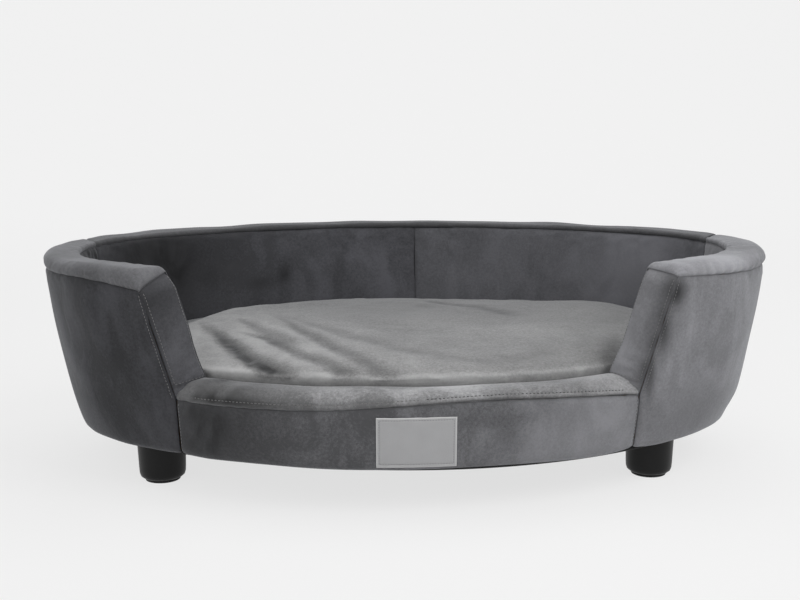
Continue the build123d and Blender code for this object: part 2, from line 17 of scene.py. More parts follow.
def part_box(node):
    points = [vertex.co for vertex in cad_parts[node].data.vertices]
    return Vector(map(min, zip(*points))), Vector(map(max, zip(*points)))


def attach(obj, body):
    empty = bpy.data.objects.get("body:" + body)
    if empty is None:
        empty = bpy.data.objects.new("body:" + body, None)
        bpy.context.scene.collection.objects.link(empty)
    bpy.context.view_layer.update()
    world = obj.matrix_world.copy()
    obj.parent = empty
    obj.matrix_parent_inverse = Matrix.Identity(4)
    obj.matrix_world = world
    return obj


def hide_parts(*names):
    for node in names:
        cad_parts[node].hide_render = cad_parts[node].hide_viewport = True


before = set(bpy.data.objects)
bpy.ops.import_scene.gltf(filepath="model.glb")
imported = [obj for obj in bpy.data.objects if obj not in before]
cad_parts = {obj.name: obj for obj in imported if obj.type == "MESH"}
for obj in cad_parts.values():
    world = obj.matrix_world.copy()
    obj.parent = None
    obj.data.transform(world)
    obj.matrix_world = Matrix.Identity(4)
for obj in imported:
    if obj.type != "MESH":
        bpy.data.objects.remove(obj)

Array = np.ndarray
Material = bpy.types.Material
Piece = bpy.types.Object
CutAngle = Callable[[Array, Array], Array]
Level = Callable[[Array], Array]
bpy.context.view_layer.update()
MM = 0.001
CLOTH = 1.8 * MM
SEAM_REACH = 1.3 * MM
SEAM_SHARPNESS = 1.3
STITCH_LIFT = 0.15 * MM
PASSES = 3
LOG = logging.getLogger("dog_sofa_bed")


class Body(Enum):
    """Moving bodies of the frame."""

    SOFA = "sofa"
    CUSHION = "cushion"
    SLIDER = "zip_slider"
    PULL = "zip_pull"


class Side(Enum):
    """Left and right halves of the bed, seen from its open front."""

    LEFT = -1
    RIGHT = 1

    @property
    def word(self) -> str:
        """Name of the side as pieces write it."""
        return self.name.lower()

    def turn(self, degrees: float) -> float:
        """Direction that many degrees from +X, mirrored for the left side."""
        return math.radians(degrees if self is Side.RIGHT else 180 - degrees)


# Shader expressions


class Value:
    """A socket of a material that takes part in Python expressions."""

    def __init__(self, shader: "Shader", socket: bpy.types.NodeSocket) -> None:
        """Keep the socket and the material that it belongs to."""
        self.shader = shader
        self.socket = socket

    def _math(self, operation: str, *terms: "Value | float") -> "Value":
        """Add a Math node of the material."""
        return self.shader.node("ShaderNodeMath", {"operation": operation}, dict(enumerate(terms)))

    def __add__(self, other: "Value | float") -> "Value":
        """Sum of two values."""
        return self._math("ADD", self, other)

    def __radd__(self, other: float) -> "Value":
        """Sum of a number and a value."""
        return self._math("ADD", other, self)

    def __sub__(self, other: "Value | float") -> "Value":
        """Difference of two values."""
        return self._math("SUBTRACT", self, other)

    def __rsub__(self, other: float) -> "Value":
        """A number less a value."""
        return self._math("SUBTRACT", other, self)

    def __mul__(self, other: "Value | float") -> "Value":
        """Product of two values."""
        return self._math("MULTIPLY", self, other)

    def __rmul__(self, other: float) -> "Value":
        """Product of a number and a value."""
        return self._math("MULTIPLY", other, self)

    def step(self, low: float, high: float) -> "Value":
        """Smooth step of the value from 0 at low to 1 at high."""
        return self.shader.node(
            "ShaderNodeMapRange",
            {"interpolation_type": "SMOOTHSTEP", "clamp": True},
            {0: self, 1: low, 2: high, 3: 0.0, 4: 1.0},
        )


class Shader:
    """One material, whose nodes are written as expressions."""

    def __init__(self, name: str) -> None:
        """Start an empty material.

        Args:
            name: Name of the finish.
        """
        self.material = bpy.data.materials.new(name)
        self.material.use_nodes = True
        self.tree = self.material.node_tree
        self.tree.nodes.clear()
        self.place = self.node("ShaderNodeTexCoord", {}, {}, "Object")

    def node(
        self,
        kind: str,
        settings: dict[str, object],
        inputs: dict[str | int, object],
        output: str | int = 0,
    ) -> Value:
        """Add a node, set it and fill its sockets.

        Args:
            kind: Blender's type name of the node.
            settings: Properties, set before the sockets.
            inputs: Value, number or tuple for each named or numbered socket.
            output: Socket to give back.

        Returns:
            The output socket as a value.
        """
        made = self.tree.nodes.new(kind)
        for name, setting in settings.items():
            setattr(made, name, setting)
        for key, given in inputs.items():
            if isinstance(given, Value):
                self.tree.links.new(given.socket, made.inputs[key])
            else:
                made.inputs[key].default_value = given
        return Value(self, made.outputs[output])

    def noise(
        self, scale: float, detail: float = 2.0, place: Value | None = None, **more: float
    ) -> Value:
        """Noise from 0 to 1 with that many features per metre."""
        inputs = {"Vector": place or self.place, "Scale": scale, "Detail": detail}
        inputs.update({name.title(): amount for name, amount in more.items()})
        return self.node("ShaderNodeTexNoise", {}, inputs, 0)

    def turned(self, scale: Sequence[float], turn: Sequence[float] = (0, 0, 0)) -> Value:
        """Object place scaled along the axes of a turned frame."""
        turned = self.node("ShaderNodeMapping", {}, {"Vector": self.place, "Rotation": tuple(turn)})
        return self.node("ShaderNodeMapping", {}, {"Vector": turned, "Scale": tuple(scale)})

    def attribute(self, name: str) -> Value:
        """A number that the mesh carries at each point."""
        return self.node("ShaderNodeAttribute", {"attribute_name": name}, {}, "Fac")

    def blend(self, share: Value | float, low: object, high: object) -> Value:
        """Mix of two colours by a share from 0 to 1."""
        settings = {"data_type": "RGBA", "clamp_factor": True}
        return self.node("ShaderNodeMix", settings, {0: share, 6: low, 7: high}, 2)

    def bump(
        self, height: Value, depth: float, strength: float = 1.0, under: Value | None = None
    ) -> Value:
        """Normal bent by a height of 0 to 1 over a depth in metres, on top of another normal."""
        inputs: dict[str | int, object] = {
            "Strength": strength, "Distance": depth, "Height": height
        }
        if under is not None:
            inputs["Normal"] = under
        return self.node("ShaderNodeBump", {}, inputs)

    def surface(self, **sockets: object) -> Material:
        """Close the material with a Principled shader.

        Args:
            sockets: Values of its sockets, with underscores for spaces.

        Returns:
            The finished material.
        """
        inputs = {name.replace("_", " "): given for name, given in sockets.items()}
        closure = self.node("ShaderNodeBsdfPrincipled", {}, inputs)
        output = self.tree.nodes.new("ShaderNodeOutputMaterial")
        self.tree.links.new(closure.socket, output.inputs["Surface"])
        return self.material


def grey(level: float, warmth: float = 0.0) -> tuple[float, float, float, float]:
    """A near-neutral colour, bluish below zero warmth and yellowish above."""
    return (level * (1 + 0.1 * warmth), level, level * (1 - 2 * warmth), 1.0)


# Finishes


@dataclass(frozen=True)
class Velvet:
    """Short-pile velvet, whose tone changes where the pile has been brushed over, with painted
    light and shade laid on it: a left-to-right gradient, blots and strokes read from the mesh, and
    painted shade in the seams' grooves.
    """

    name: str
    dark: float
    light: float
    # Painted shade towards the left and painted light towards the right, in proportion to x.
    across: float = 0.0
    warmth: float = -0.03
    patch_scale: float = 7.0
    cloud: float = 0.55
    mottle: float = 0.50
    brush_scale: float = 24.0
    tuft_scale: float = 300.0
    pile_scale: float = 950.0
    laid_and_lit_level: float = 1.8
    laid_and_shaded_level: float = 0.2
    groove_shade: float = 0.75
    sheen: float = 0.30

    def make(self) -> Material:
        """Build the material.

        Returns:
            Velvet with brushed patches, a fine pile, painted light and shade, and painted shade in
            the seams.
        """
        s = Shader(self.name)
        cloudy = s.noise(self.patch_scale, 3.0, distortion=0.6).step(0.32, 0.68)
        upright = s.turned((1.0, 1.0, 0.55))
        brushed = s.noise(self.brush_scale, 5.0, upright, distortion=0.8).step(0.34, 0.7)
        pile = s.noise(self.pile_scale, 2.0, roughness=0.6)
        tuft = s.noise(self.tuft_scale, 4.0, roughness=0.7)
        east = s.node("ShaderNodeSeparateXYZ", {}, {0: s.place}, 0)
        share = 0.5 + (cloudy - 0.5) * self.cloud + (brushed - 0.5) * self.mottle
        # east * across paints shade on the left of the panel and light on its right.
        share = share + east * self.across + (tuft - 0.5) * 1.5 + (pile - 0.5) * 0.8
        cloth = s.blend(share, grey(self.dark, self.warmth), grey(self.light, self.warmth))
        # The mesh's tone attribute paints light where it is above zero and shade where it is below,
        # besides some brushed pile.
        nap = s.attribute("nap") * (0.85 + brushed * 0.3)
        cloth = s.blend(nap, cloth, grey(self.light * self.laid_and_lit_level, self.warmth))
        cloth = s.blend(nap * -1.0, cloth, grey(self.dark * self.laid_and_shaded_level, self.warmth))
        # Painted shade in the seams' grooves, darker the nearer the seam.
        seam = s.attribute("seam")
        shaded = s.blend(seam, cloth, grey(self.dark * self.groove_shade, self.warmth))
        fluff = s.bump(pile * 0.7 + tuft * 0.3, 0.5 * MM, 0.5)
        return s.surface(
            Base_Color=shaded,
            Roughness=0.78 + (brushed - 0.5) * 0.12,
            Normal=s.bump(brushed, 1.2 * MM, 0.35, fluff),
            Sheen_Weight=self.sheen,
            Sheen_Roughness=0.42,
            Sheen_Tint=(0.86, 0.88, 0.92, 1.0),
            Specular_IOR_Level=0.25,
        )


@dataclass(frozen=True)
class Leatherette:
    """Pale leatherette with a fine pebble."""

    name: str = "label_leatherette"
    level: float = 0.36

    def make(self) -> Material:
        """Build the material."""
        s = Shader(self.name)
        pebble = s.node(
            "ShaderNodeTexVoronoi", {"feature": "SMOOTH_F1"}, {"Vector": s.place, "Scale": 1500.0}
        )
        cloud = s.noise(60.0, 3.0)
        rim = s.attribute("seam")
        face = s.blend(cloud, grey(self.level * 0.93, -0.01), grey(self.level * 1.06, -0.01))
        return s.surface(
            Base_Color=s.blend(rim, face, grey(self.level * 1.75, 0.0)),
            Roughness=0.5 + cloud * 0.12,
            Normal=s.bump(pebble, 0.25 * MM, 0.5),
        )


@dataclass(frozen=True)
class Moulded:
    """Moulded black plastic with a satin skin."""

    name: str = "black_plastic"
    level: float = 0.005

    def make(self) -> Material:
        """Build the material."""
        s = Shader(self.name)
        spark = s.noise(1400.0, 2.0)
        scuff = s.noise(38.0, 5.0, s.turned((1.0, 1.0, 0.3))).step(0.45, 0.8)
        return s.surface(
            Base_Color=s.blend(scuff, grey(self.level, -0.02), grey(self.level * 1.9, -0.02)),
            Roughness=0.40 + scuff * 0.16 + spark * 0.05,
            Normal=s.bump(spark, 0.12 * MM, 0.4),
            Specular_IOR_Level=0.22,
        )


@dataclass(frozen=True)
class Plywood:
    """Raw plywood, or the thin brown board that is bent round the frame."""

    name: str
    pale: tuple[float, float, float, float]
    deep: tuple[float, float, float, float]
    grain: float = 60.0

    def make(self) -> Material:
        """Build the material."""
        s = Shader(self.name)
        along = s.turned((0.12, 1.0, 1.0))
        rings = s.noise(self.grain, 6.0, along, distortion=1.6)
        pores = s.noise(self.grain * 9, 2.0, along)
        ply = s.node(
            "ShaderNodeTexWave",
            {"wave_type": "BANDS", "bands_direction": "Z"},
            {"Vector": s.place, "Scale": 180.0, "Distortion": 0.6},
            1,
        )
        share = rings.step(0.3, 0.7) * 0.6 + pores * 0.2 + ply * 0.25
        return s.surface(
            Base_Color=s.blend(share, self.pale, self.deep),
            Roughness=0.62 + rings * 0.2,
            Normal=s.bump(pores, 0.2 * MM, 0.5),
        )


@dataclass(frozen=True)
class Woven:
    """Woven or bonded cloth: the deck's and underside's lining, zip tape, felt."""

    name: str
    level: float
    pitch: float = 1.1 * MM
    rough: float = 0.9

    def make(self) -> Material:
        """Build the material."""
        s = Shader(self.name)
        waves = [
            s.node(
                "ShaderNodeTexWave",
                {"wave_type": "BANDS", "bands_direction": axis},
                {"Vector": s.place, "Scale": 0.314 / self.pitch, "Distortion": 0.4},
                1,
            )
            for axis in ("X", "Y")
        ]
        weave = waves[0] * waves[1]
        cloud = s.noise(30.0, 3.0)
        share = weave * 0.6 + cloud * 0.4
        return s.surface(
            Base_Color=s.blend(share, grey(self.level * 0.7), grey(self.level * 1.35)),
            Roughness=self.rough,
            Normal=s.bump(weave, 0.3 * MM, 0.6),
        )


@dataclass(frozen=True)
class Metal:
    """Zinc-plated or enamelled metal."""

    name: str
    level: float
    metallic: float
    rough: float

    def make(self) -> Material:
        """Build the material."""
        s = Shader(self.name)
        cloud = s.noise(320.0, 4.0)
        brushed = s.noise(900.0, 2.0, s.turned((1.0, 1.0, 0.1)))
        return s.surface(
            Base_Color=s.blend(cloud, grey(self.level * 0.85), grey(self.level * 1.1)),
            Metallic=self.metallic,
            Roughness=self.rough + (brushed - 0.5) * 0.15,
            Normal=s.bump(brushed, 0.05 * MM, 0.4),
        )


@dataclass(frozen=True)
class Thread:
    """Twisted sewing thread."""

    name: str
    level: float

    def make(self) -> Material:
        """Build the material."""
        s = Shader(self.name)
        ply = s.noise(2600.0, 2.0)
        return s.surface(
            Base_Color=s.blend(ply, grey(self.level * 0.7), grey(self.level * 1.4)),
            Roughness=0.7,
            Normal=s.bump(ply, 0.15 * MM, 0.5),
            Sheen_Weight=0.3,
        )


# Shape of the wall


@dataclass(frozen=True)
class Oval:
    """The wall's outline: four tangent arcs, the same centres at every height and inset.

    A place on it is named by the direction of its outward normal, in radians from +X.
    """

    half_length: float = 0.450
    half_depth: float = 0.290
    end_radius: float = 0.214
    back_shift: float = -0.01155
    flare: float = math.radians(10)
    widest: float = 0.258
    table_size: int = 16001

    @property
    def end_centre(self) -> float:
        """Distance of the end arcs' centres from the middle."""
        return self.half_length - self.end_radius

    @property
    def side_radius(self) -> float:
        """Radius of the two long arcs."""
        spare = self.half_depth - self.end_radius
        return (self.end_centre**2 + self.half_depth**2 - self.end_radius**2) / (2 * spare)

    @property
    def side_centre(self) -> float:
        """Distance of the long arcs' centres from the middle."""
        return self.side_radius - self.half_depth

    @property
    def side_half_angle(self) -> float:
        """Half of the angle that a long arc spans."""
        return math.atan2(self.end_centre, self.side_centre)

    def lean(self, height: Array | float) -> Array | float:
        """Inset of the leaning outer face at a height."""
        return (self.widest - height) * math.tan(self.flare)

    def spot(self, angle: Array, inset: Array) -> tuple[Array, Array]:
        """Place of a point of the outline, drawn in by an inset.

        Args:
            angle: Directions of the outward normal.
            inset: Distances inside the widest outline.

        Returns:
            The X and Y of each point.
        """
        turn = np.arctan2(np.sin(angle), np.cos(angle))
        end = np.abs(np.abs(turn) - math.pi / 2) > self.side_half_angle
        centre_x = np.where(end, np.sign(np.cos(turn)) * self.end_centre, 0.0)
        centre_y = np.where(end, 0.0, -np.sign(np.sin(turn)) * self.side_centre)
        reach = np.where(end, self.end_radius, self.side_radius) - inset
        return centre_x + reach * np.cos(turn), centre_y + reach * np.sin(turn) + self.back_shift

    def lengths(self) -> tuple[Array, Array]:
        """Normal directions and lengths along the widest outline, from the back's middle."""
        angle = np.linspace(-1.5 * math.pi, 2.5 * math.pi, self.table_size)
        turn = np.arctan2(np.sin(angle), np.cos(angle))
        end = np.abs(np.abs(turn) - math.pi / 2) > self.side_half_angle
        reach = np.where(end, self.end_radius, self.side_radius)
        steps = np.concatenate([[0.0], np.cumsum((reach[1:] + reach[:-1]) / 2 * np.diff(angle))])
        return angle, steps - np.interp(math.pi / 2, angle, steps)


OVAL = Oval()
ANGLES, LENGTHS = OVAL.lengths()


def length_at(angle: Array | float) -> Array | float:
    """Length along the outline for a direction of the normal."""
    return np.interp(angle, ANGLES, LENGTHS)


def angle_at(length: Array | float) -> Array | float:
    """Direction of the normal for a length along the outline."""
    return np.interp(length, LENGTHS, ANGLES)


@dataclass(frozen=True)
class Cut:
    """A flat seam or edge that crosses the wall, kept as a plane."""

    normal: Vector
    point: Vector
    HALVINGS: ClassVar = 40

    def angle(self, inset: Array, height: Array, low: float, high: float) -> Array:
        """Direction of the outline's normal where the plane crosses it, by halving.

        Args:
            inset: Distances inside the widest outline.
            height: Heights of the same points.
            low: One end of the range of directions.
            high: Its other end, on the other side of the plane.

        Returns:
            One direction for each point.
        """
        below = np.full(np.shape(inset), low, float)
        above = np.full(np.shape(inset), high, float)
        sign = np.sign(self.distance(below, inset, height))
        for _ in range(self.HALVINGS):
            middle = (below + above) / 2
            same = np.sign(self.distance(middle, inset, height)) == sign
            below, above = np.where(same, middle, below), np.where(same, above, middle)
        return (below + above) / 2

    def distance(self, angle: Array, inset: Array, height: Array) -> Array:
        """Signed distance of points of the wall from the plane."""
        x, y = OVAL.spot(angle, inset)
        n, p = self.normal, self.point
        return n.x * (x - p.x) + n.y * (y - p.y) + n.z * (height - p.z)


@dataclass(frozen=True)
class Section:
    """A run of the wall's section, as insets and heights along its length."""

    insets: Array
    heights: Array
    lengths: Array
    ARC_STEPS: ClassVar = 16
    SPACING: ClassVar = 0.5 * MM
    FACING_STEP: ClassVar = 1.5 * MM

    @classmethod
    def through(cls, corners: Sequence[tuple[float, float]], rounds: Sequence[float]) -> "Section":
        """Run through corners, each rounded.

        Args:
            corners: Inset and height of each corner.
            rounds: Radius at each inner corner.

        Returns:
            The section, with evenly spaced points.
        """
        points: list[Vector] = [Vector(corners[0])]
        for (before, corner, after), radius in zip(zip(corners, corners[1:], corners[2:]), rounds):
            start, middle, stop = Vector(before), Vector(corner), Vector(after)
            back, ahead = (start - middle).normalized(), (stop - middle).normalized()
            half = back.angle(ahead) / 2
            reach = radius / math.tan(half)
            centre = middle + (back + ahead).normalized() * (radius / math.sin(half))
            first, last = middle + back * reach, middle + ahead * reach
            for i in range(cls.ARC_STEPS + 1):
                chord = first.lerp(last, i / cls.ARC_STEPS) - centre
                points.append(centre + chord.normalized() * radius)
        points.append(Vector(corners[-1]))
        rough = np.array(points, float)
        marks = np.concatenate([[0], np.cumsum(np.hypot(*np.diff(rough, axis=0).T))])
        even = np.linspace(0, marks[-1], max(int(marks[-1] / cls.SPACING), 8))
        return cls(np.interp(even, marks, rough[:, 0]), np.interp(even, marks, rough[:, 1]), even)

    def at(self, length: Array) -> tuple[Array, Array]:
        """Inset and height at lengths along the run."""
        return (
            np.interp(length, self.lengths, self.insets),
            np.interp(length, self.lengths, self.heights),
        )

    def facing(self, length: Array) -> tuple[Array, Array]:
        """Outward normal at lengths along the run, as inset and height parts."""
        low = self.at(np.clip(length - self.FACING_STEP, 0, self.lengths[-1]))
        high = self.at(np.clip(length + self.FACING_STEP, 0, self.lengths[-1]))
        across, up = high[0] - low[0], high[1] - low[1]
        size = np.hypot(across, up) + 1e-12
        return -up / size, across / size

    def length_at_height(self, height: Array) -> Array:
        """Length along a rising run where it passes a height."""
        return np.interp(height, self.heights, self.lengths)


class Ripples:
    """Smooth, repeatable unevenness: a sum of waves in random directions."""

    def __init__(self, seed: int, low: float, high: float, count: int = 28) -> None:
        """Draw the waves.

        Args:
            seed: Seed of the draw.
            low: Shortest wave, in metres.
            high: Longest wave.
            count: Number of waves.
        """
        draw = np.random.default_rng(seed)
        ways = draw.normal(size=(count, 3))
        ways /= np.linalg.norm(ways, axis=1)[:, None]
        waves = np.exp(draw.uniform(math.log(low), math.log(high), count))
        self.turns = ways * (2 * math.pi / waves)[:, None]
        self.starts = draw.uniform(0, 2 * math.pi, count)
        self.scale = math.sqrt(2 / count)

    def __call__(self, points: Array) -> Array:
        """Height of the unevenness at points, about -1 to 1."""
        return np.sin(points @ self.turns.T + self.starts).sum(axis=1) * self.scale * 0.6


def soft_step(value: Array, low: float, high: float) -> Array:
    """Smooth step from 0 at low to 1 at high."""
    share = np.clip((value - low) / (high - low), 0, 1)
    return share * share * (3 - 2 * share)


def bell(distance: Array | float, width: Array | float, power: float = 2.0) -> Array:
    """Smooth hump, 1 at no distance and fading over a width."""
    return np.exp(-((np.abs(distance) / width) ** power))


@dataclass(frozen=True)
class Patch:
    """A soft blot that changes the cloth's tone, with its sizes in millimetres: painted shade,
    light and sheen for the most part, some of it brushed pile.
    """

    centre: tuple[float, float, float]
    reach: tuple[float, float, float]
    tone: float

    def at(self, points: Array, waver: Array) -> Array:
        """Change of tone at points, its edge made uneven by a waver of -1 to 1."""
        far = (((points / MM - np.array(self.centre)) / np.array(self.reach)) ** 2).sum(axis=1)
        return self.tone * np.exp(-far * (1 + 0.25 * waver)) * (1 + 0.10 * waver)


@dataclass(frozen=True)
class Stroke:
    """A long fold in the cushion's top, its pile laid over, with its sizes in millimetres; the last
    of the cushion's strokes is painted shadow over a shallow dip.
    """

    line: tuple[tuple[float, float], ...]
    width: float
    tone: float
    depth: float

    def at(self, x: Array, y: Array) -> Array:
        """Strength at places on the cushion.

        Args:
            x: Places across the bed, in metres.
            y: Places from front to back.

        Returns:
            1 along the stroke's middle, fading to 0 beside it and past its ends.
        """
        x, y = x / MM, y / MM
        best = np.full_like(x, np.inf)
        share = np.zeros_like(x)
        count = len(self.line) - 1
        for i, ((x0, y0), (x1, y1)) in enumerate(zip(self.line, self.line[1:])):
            run = np.hypot(x1 - x0, y1 - y0)
            along = np.clip(((x - x0) * (x1 - x0) + (y - y0) * (y1 - y0)) / run**2, 0, 1)
            gap = np.hypot(x - x0 - along * (x1 - x0), y - y0 - along * (y1 - y0))
            share = np.where(gap < best, (i + along) / count, share)
            best = np.minimum(best, gap)
        ends = soft_step(share, -0.05, 0.35) * soft_step(share, 1.08, 0.92)
        return bell(best, self.width * (0.45 + 0.75 * share)) * ends


# Making meshes


def in_scene(name: str, data: bpy.types.ID) -> Piece:
    """Put a mesh, lamp or camera in the scene as an object at the origin."""
    made = bpy.data.objects.new(name, data)
    bpy.context.scene.collection.objects.link(made)
    return made


def finish_mesh(name: str, bm: bmesh.types.BMesh, smooth: bool = True) -> Piece:
    """Turn a bmesh into an object, smooth-shaded or flat."""
    mesh = bpy.data.meshes.new(name)
    bm.to_mesh(mesh)
    bm.free()
    mesh.polygons.foreach_set("use_smooth", [smooth] * len(mesh.polygons))
    return in_scene(name, mesh)


@contextmanager
def edited(obj: Piece) -> Iterator[bmesh.types.BMesh]:
    """Open an object's mesh to the operators, and write it back after them."""
    bm = bmesh.new()
    bm.from_mesh(obj.data)
    yield bm
    bm.to_mesh(obj.data)
    bm.free()


def grid_object(
    name: str,
    columns: int,
    rows: int,
    shape: Callable[[Array, Array], tuple[Array, Array]],
) -> Piece:
    """Make a sheet from a grid that a function shapes.

    Args:
        name: Name of the piece.
        columns: Number of steps across.
        rows: Number of steps along.
        shape: Gives points, and how near a seam each lies, for shares across and along.

    Returns:
        The sheet, with the nearness kept in its seam attribute.
    """
    bm = bmesh.new()
    bmesh.ops.create_grid(bm, x_segments=columns, y_segments=rows, size=0.5)
    made = finish_mesh(name, bm)
    mesh = made.data
    shares = mesh_points(made) + 0.5
    points, seam = shape(shares[:, 0], shares[:, 1])
    mesh.vertices.foreach_set("co", points.ravel())
    lay(made, "seam", seam)
    mesh.update()
    return made


def mesh_points(obj: Piece) -> Array:
    """Points of an object's mesh."""
    flat = np.zeros(len(obj.data.vertices) * 3)
    obj.data.vertices.foreach_get("co", flat)
    return flat.reshape(-1, 3)


def lay(obj: Piece, name: str, amounts: Array) -> None:
    """Keep a number for each point of a mesh, for its material to read."""
    found = obj.data.attributes.get(name) or obj.data.attributes.new(name, "FLOAT", "POINT")
    found.data.foreach_set("value", amounts.astype(np.float32))


def apply_modifiers(obj: Piece) -> Piece:
    """Make an object's modifiers part of its mesh."""
    graph = bpy.context.evaluated_depsgraph_get()
    mesh = bpy.data.meshes.new_from_object(obj.evaluated_get(graph), depsgraph=graph)
    obj.modifiers.clear()
    obj.data = mesh
    return obj


def crowded(share: Array, pull: float = 0.72) -> Array:
    """Shares moved towards both ends of their range, where the seams are."""
    return share - pull * np.sin(2 * math.pi * share) / (2 * math.pi)


@dataclass
class Panel:
    """A piece of cloth sewn into the wall, between two cuts and two heights of a section."""

    FULL_WIDTH: ClassVar = 0.12
    WAVE_HEIGHT: ClassVar = 0.9 * MM
    PUCKER_REACH: ClassVar = 16 * MM
    FLARE_REACH: ClassVar = 14 * MM

    name: str
    section: Section
    start: CutAngle
    stop: CutAngle
    low: Level
    high: Level
    bulge: float = 3 * MM
    dips: tuple[float, float, float, float] = (1, 1, 1, 1)
    dip_depth: float = 2.0 * MM
    dip_reach: float = 4.5 * MM
    pucker: float = 0.5 * MM
    seed: int = 1
    extra: Callable[[Array, Array, Array], Array] | None = None
    tucks: tuple[Vector | None, Vector | None] = (None, None)
    flare: Level | None = None

    def ends(self, along: Array) -> tuple[Array, Array]:
        """Where the panel starts and stops round the wall.

        Args:
            along: Lengths along the section.

        Returns:
            Lengths round the outline of both cuts.
        """
        table = np.linspace(0, self.section.lengths[-1], 160)
        inset, height = self.section.at(table)
        first, last = length_at(self.start(inset, height)), length_at(self.stop(inset, height))
        return np.interp(along, table, first), np.interp(along, table, last)

    def place(self, around: Array, along: Array, lift: float = 0.0) -> tuple[Array, Array, Array]:
        """Points of the padded surface.

        Args:
            around: Lengths round the outline.
            along: Lengths along the section.
            lift: Height above the cloth.

        Returns:
            The points, their outward normals, and how near a seam each lies.
        """
        inset, height = self.section.at(along)
        angle = angle_at(around)
        x, y = OVAL.spot(angle, inset)
        inward, upward = self.section.facing(along)
        normal = np.stack([-np.cos(angle) * inward, -np.sin(angle) * inward, upward], axis=1)
        swell = SEAMS.swell(angle, inset, height)
        points = np.stack([x + np.cos(angle) * swell, y + np.sin(angle) * swell, height], axis=1)
        first, last = self.ends(along)
        low, high = self.low(around), self.high(around)
        edges = (around - first, last - around, along - low, high - along)
        gaps = [np.maximum(edge, 0) for edge in edges]
        width, rise = np.maximum(last - first, 1e-6), np.maximum(high - low, 1e-6)
        across, upright = np.minimum(gaps[0] / width, 1), np.minimum(gaps[2] / rise, 1)
        fullness = np.minimum(1, np.sin(math.pi * across) * width / self.FULL_WIDTH)
        fullness = np.clip(fullness, 0, 1) ** 0.6 * np.sin(math.pi * upright) ** 0.8
        dips = [bell(gap, self.dip_reach, SEAM_SHARPNESS) for gap in gaps]
        dip = sum(weight * depth for weight, depth in zip(self.dips, dips))
        weighed = list(zip(self.dips, gaps))
        nearness = sum(weight * bell(gap, self.PUCKER_REACH) for weight, gap in weighed)
        fine, broad = Ripples(self.seed, 9 * MM, 22 * MM), Ripples(self.seed + 50, 0.06, 0.16)
        out = self.bulge * fullness + self.WAVE_HEIGHT * broad(points) * np.clip(upright * 6, 0, 1)
        puckers = self.pucker * fine(points) * np.clip(nearness, 0, 1)
        out += puckers - self.dip_depth * np.clip(dip, 0, 1)
        if self.extra is not None:
            out += self.extra(around, along, points)
        moved = points + normal * (out + lift)[:, None]
        for tuck, gap, depth in zip(self.tucks, gaps, dips):
            if tuck is None:
                continue
            back = -self.dip_depth * depth
            if self.flare is not None:
                back = back + self.flare(height) * bell(gap, self.FLARE_REACH)
            moved += np.outer(back, np.array(tuck))
        seam = sum(np.exp(-gap / SEAM_REACH) * min(weight, 1) for weight, gap in weighed)
        return moved, normal, np.clip(seam, 0, 1)

    def build(self, step: float = 3.4 * MM) -> Piece:
        """Make the panel's mesh.

        Args:
            step: Size of its faces away from the seams.

        Returns:
            The sheet, given the cloth's thickness inwards.
        """
        spread = self.ends(np.array([self.section.lengths[-1] / 2]))
        columns = max(int(abs(spread[1][0] - spread[0][0]) / step), 12)
        middle = np.array([(spread[0][0] + spread[1][0]) / 2])
        rows = max(int((self.high(middle)[0] - self.low(middle)[0]) / step), 14)

        def shape(u: Array, v: Array) -> tuple[Array, Array]:
            """Shape the grid in passes, because the cuts and heights depend on each other."""
            u, v = crowded(u), crowded(v)
            along = np.full_like(v, self.section.lengths[-1] / 2)
            for _ in range(PASSES):
                first, last = self.ends(along)
                around = first + u * (last - first)
                low, high = self.low(around), self.high(around)
                along = low + v * (high - low)
            points, _, seam = self.place(around, along)
            return points, seam

        return thicken(grid_object(self.name, columns, rows, shape))

    def sew(
        self, rows: "Stitching", around: Array, along: Array, lift: float = STITCH_LIFT
    ) -> None:
        """Add a row of stitches along a line on the panel."""
        points, normals, _ = self.place(around, along, lift)
        rows.row(points, normals)


def face_outwards(obj: Piece, inside: Vector) -> None:
    """Turn a sheet's faces outwards.

    Args:
        obj: The sheet.
        inside: A point behind it.
    """
    face = obj.data.polygons[len(obj.data.polygons) // 2]
    if face.normal.dot(face.center - inside) < 0:
        with edited(obj) as bm:
            bmesh.ops.reverse_faces(bm, faces=bm.faces)


def thicken(obj: Piece, thickness: float = CLOTH) -> Piece:
    """Give a sheet its thickness, inwards."""
    solid = obj.modifiers.new("cloth", "SOLIDIFY")
    solid.thickness = thickness
    solid.offset = -1.0
    solid.use_even_offset = False
    return apply_modifiers(obj)


def dress(
    obj: Piece,
    material: Material,
    body: Body,
    replaced: Sequence[str] = (),
) -> Piece:
    """Give a piece its finish and hand it to a body of the frame.

    Args:
        obj: The piece.
        material: Its finish.
        body: Body that it rides on.
        replaced: Nodes of the frame that it stands for.

    Returns:
        The same piece.
    """
    obj.data.materials.clear()
    obj.data.materials.append(material)
    # Lay the panel's blots of painted light, shade and sheen, with some brushed pile, for its
    # velvet.
    if obj.name in PAINTED_LIGHT_AND_NAP_PATCHES:
        points = mesh_points(obj)
        waver = Ripples(7, 0.020, 0.09)(points)
        lay(obj, "nap", sum(patch.at(points, waver) for patch in PAINTED_LIGHT_AND_NAP_PATCHES[obj.name]))
    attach(obj, body.value)
    if replaced:
        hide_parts(*replaced)
    LOG.info("%s rides on %s", obj.name, body.value)
    return obj


def upholster(obj: Piece, velvet: Material, nodes: Sequence[str]) -> None:
    """Dress a cover of the sofa and hide the nodes that it stands for, its padding among them.

    Args:
        obj: The cover.
        velvet: Its finish.
        nodes: Nodes of the frame that it stands for.
    """
    dress(obj, velvet, Body.SOFA, nodes)


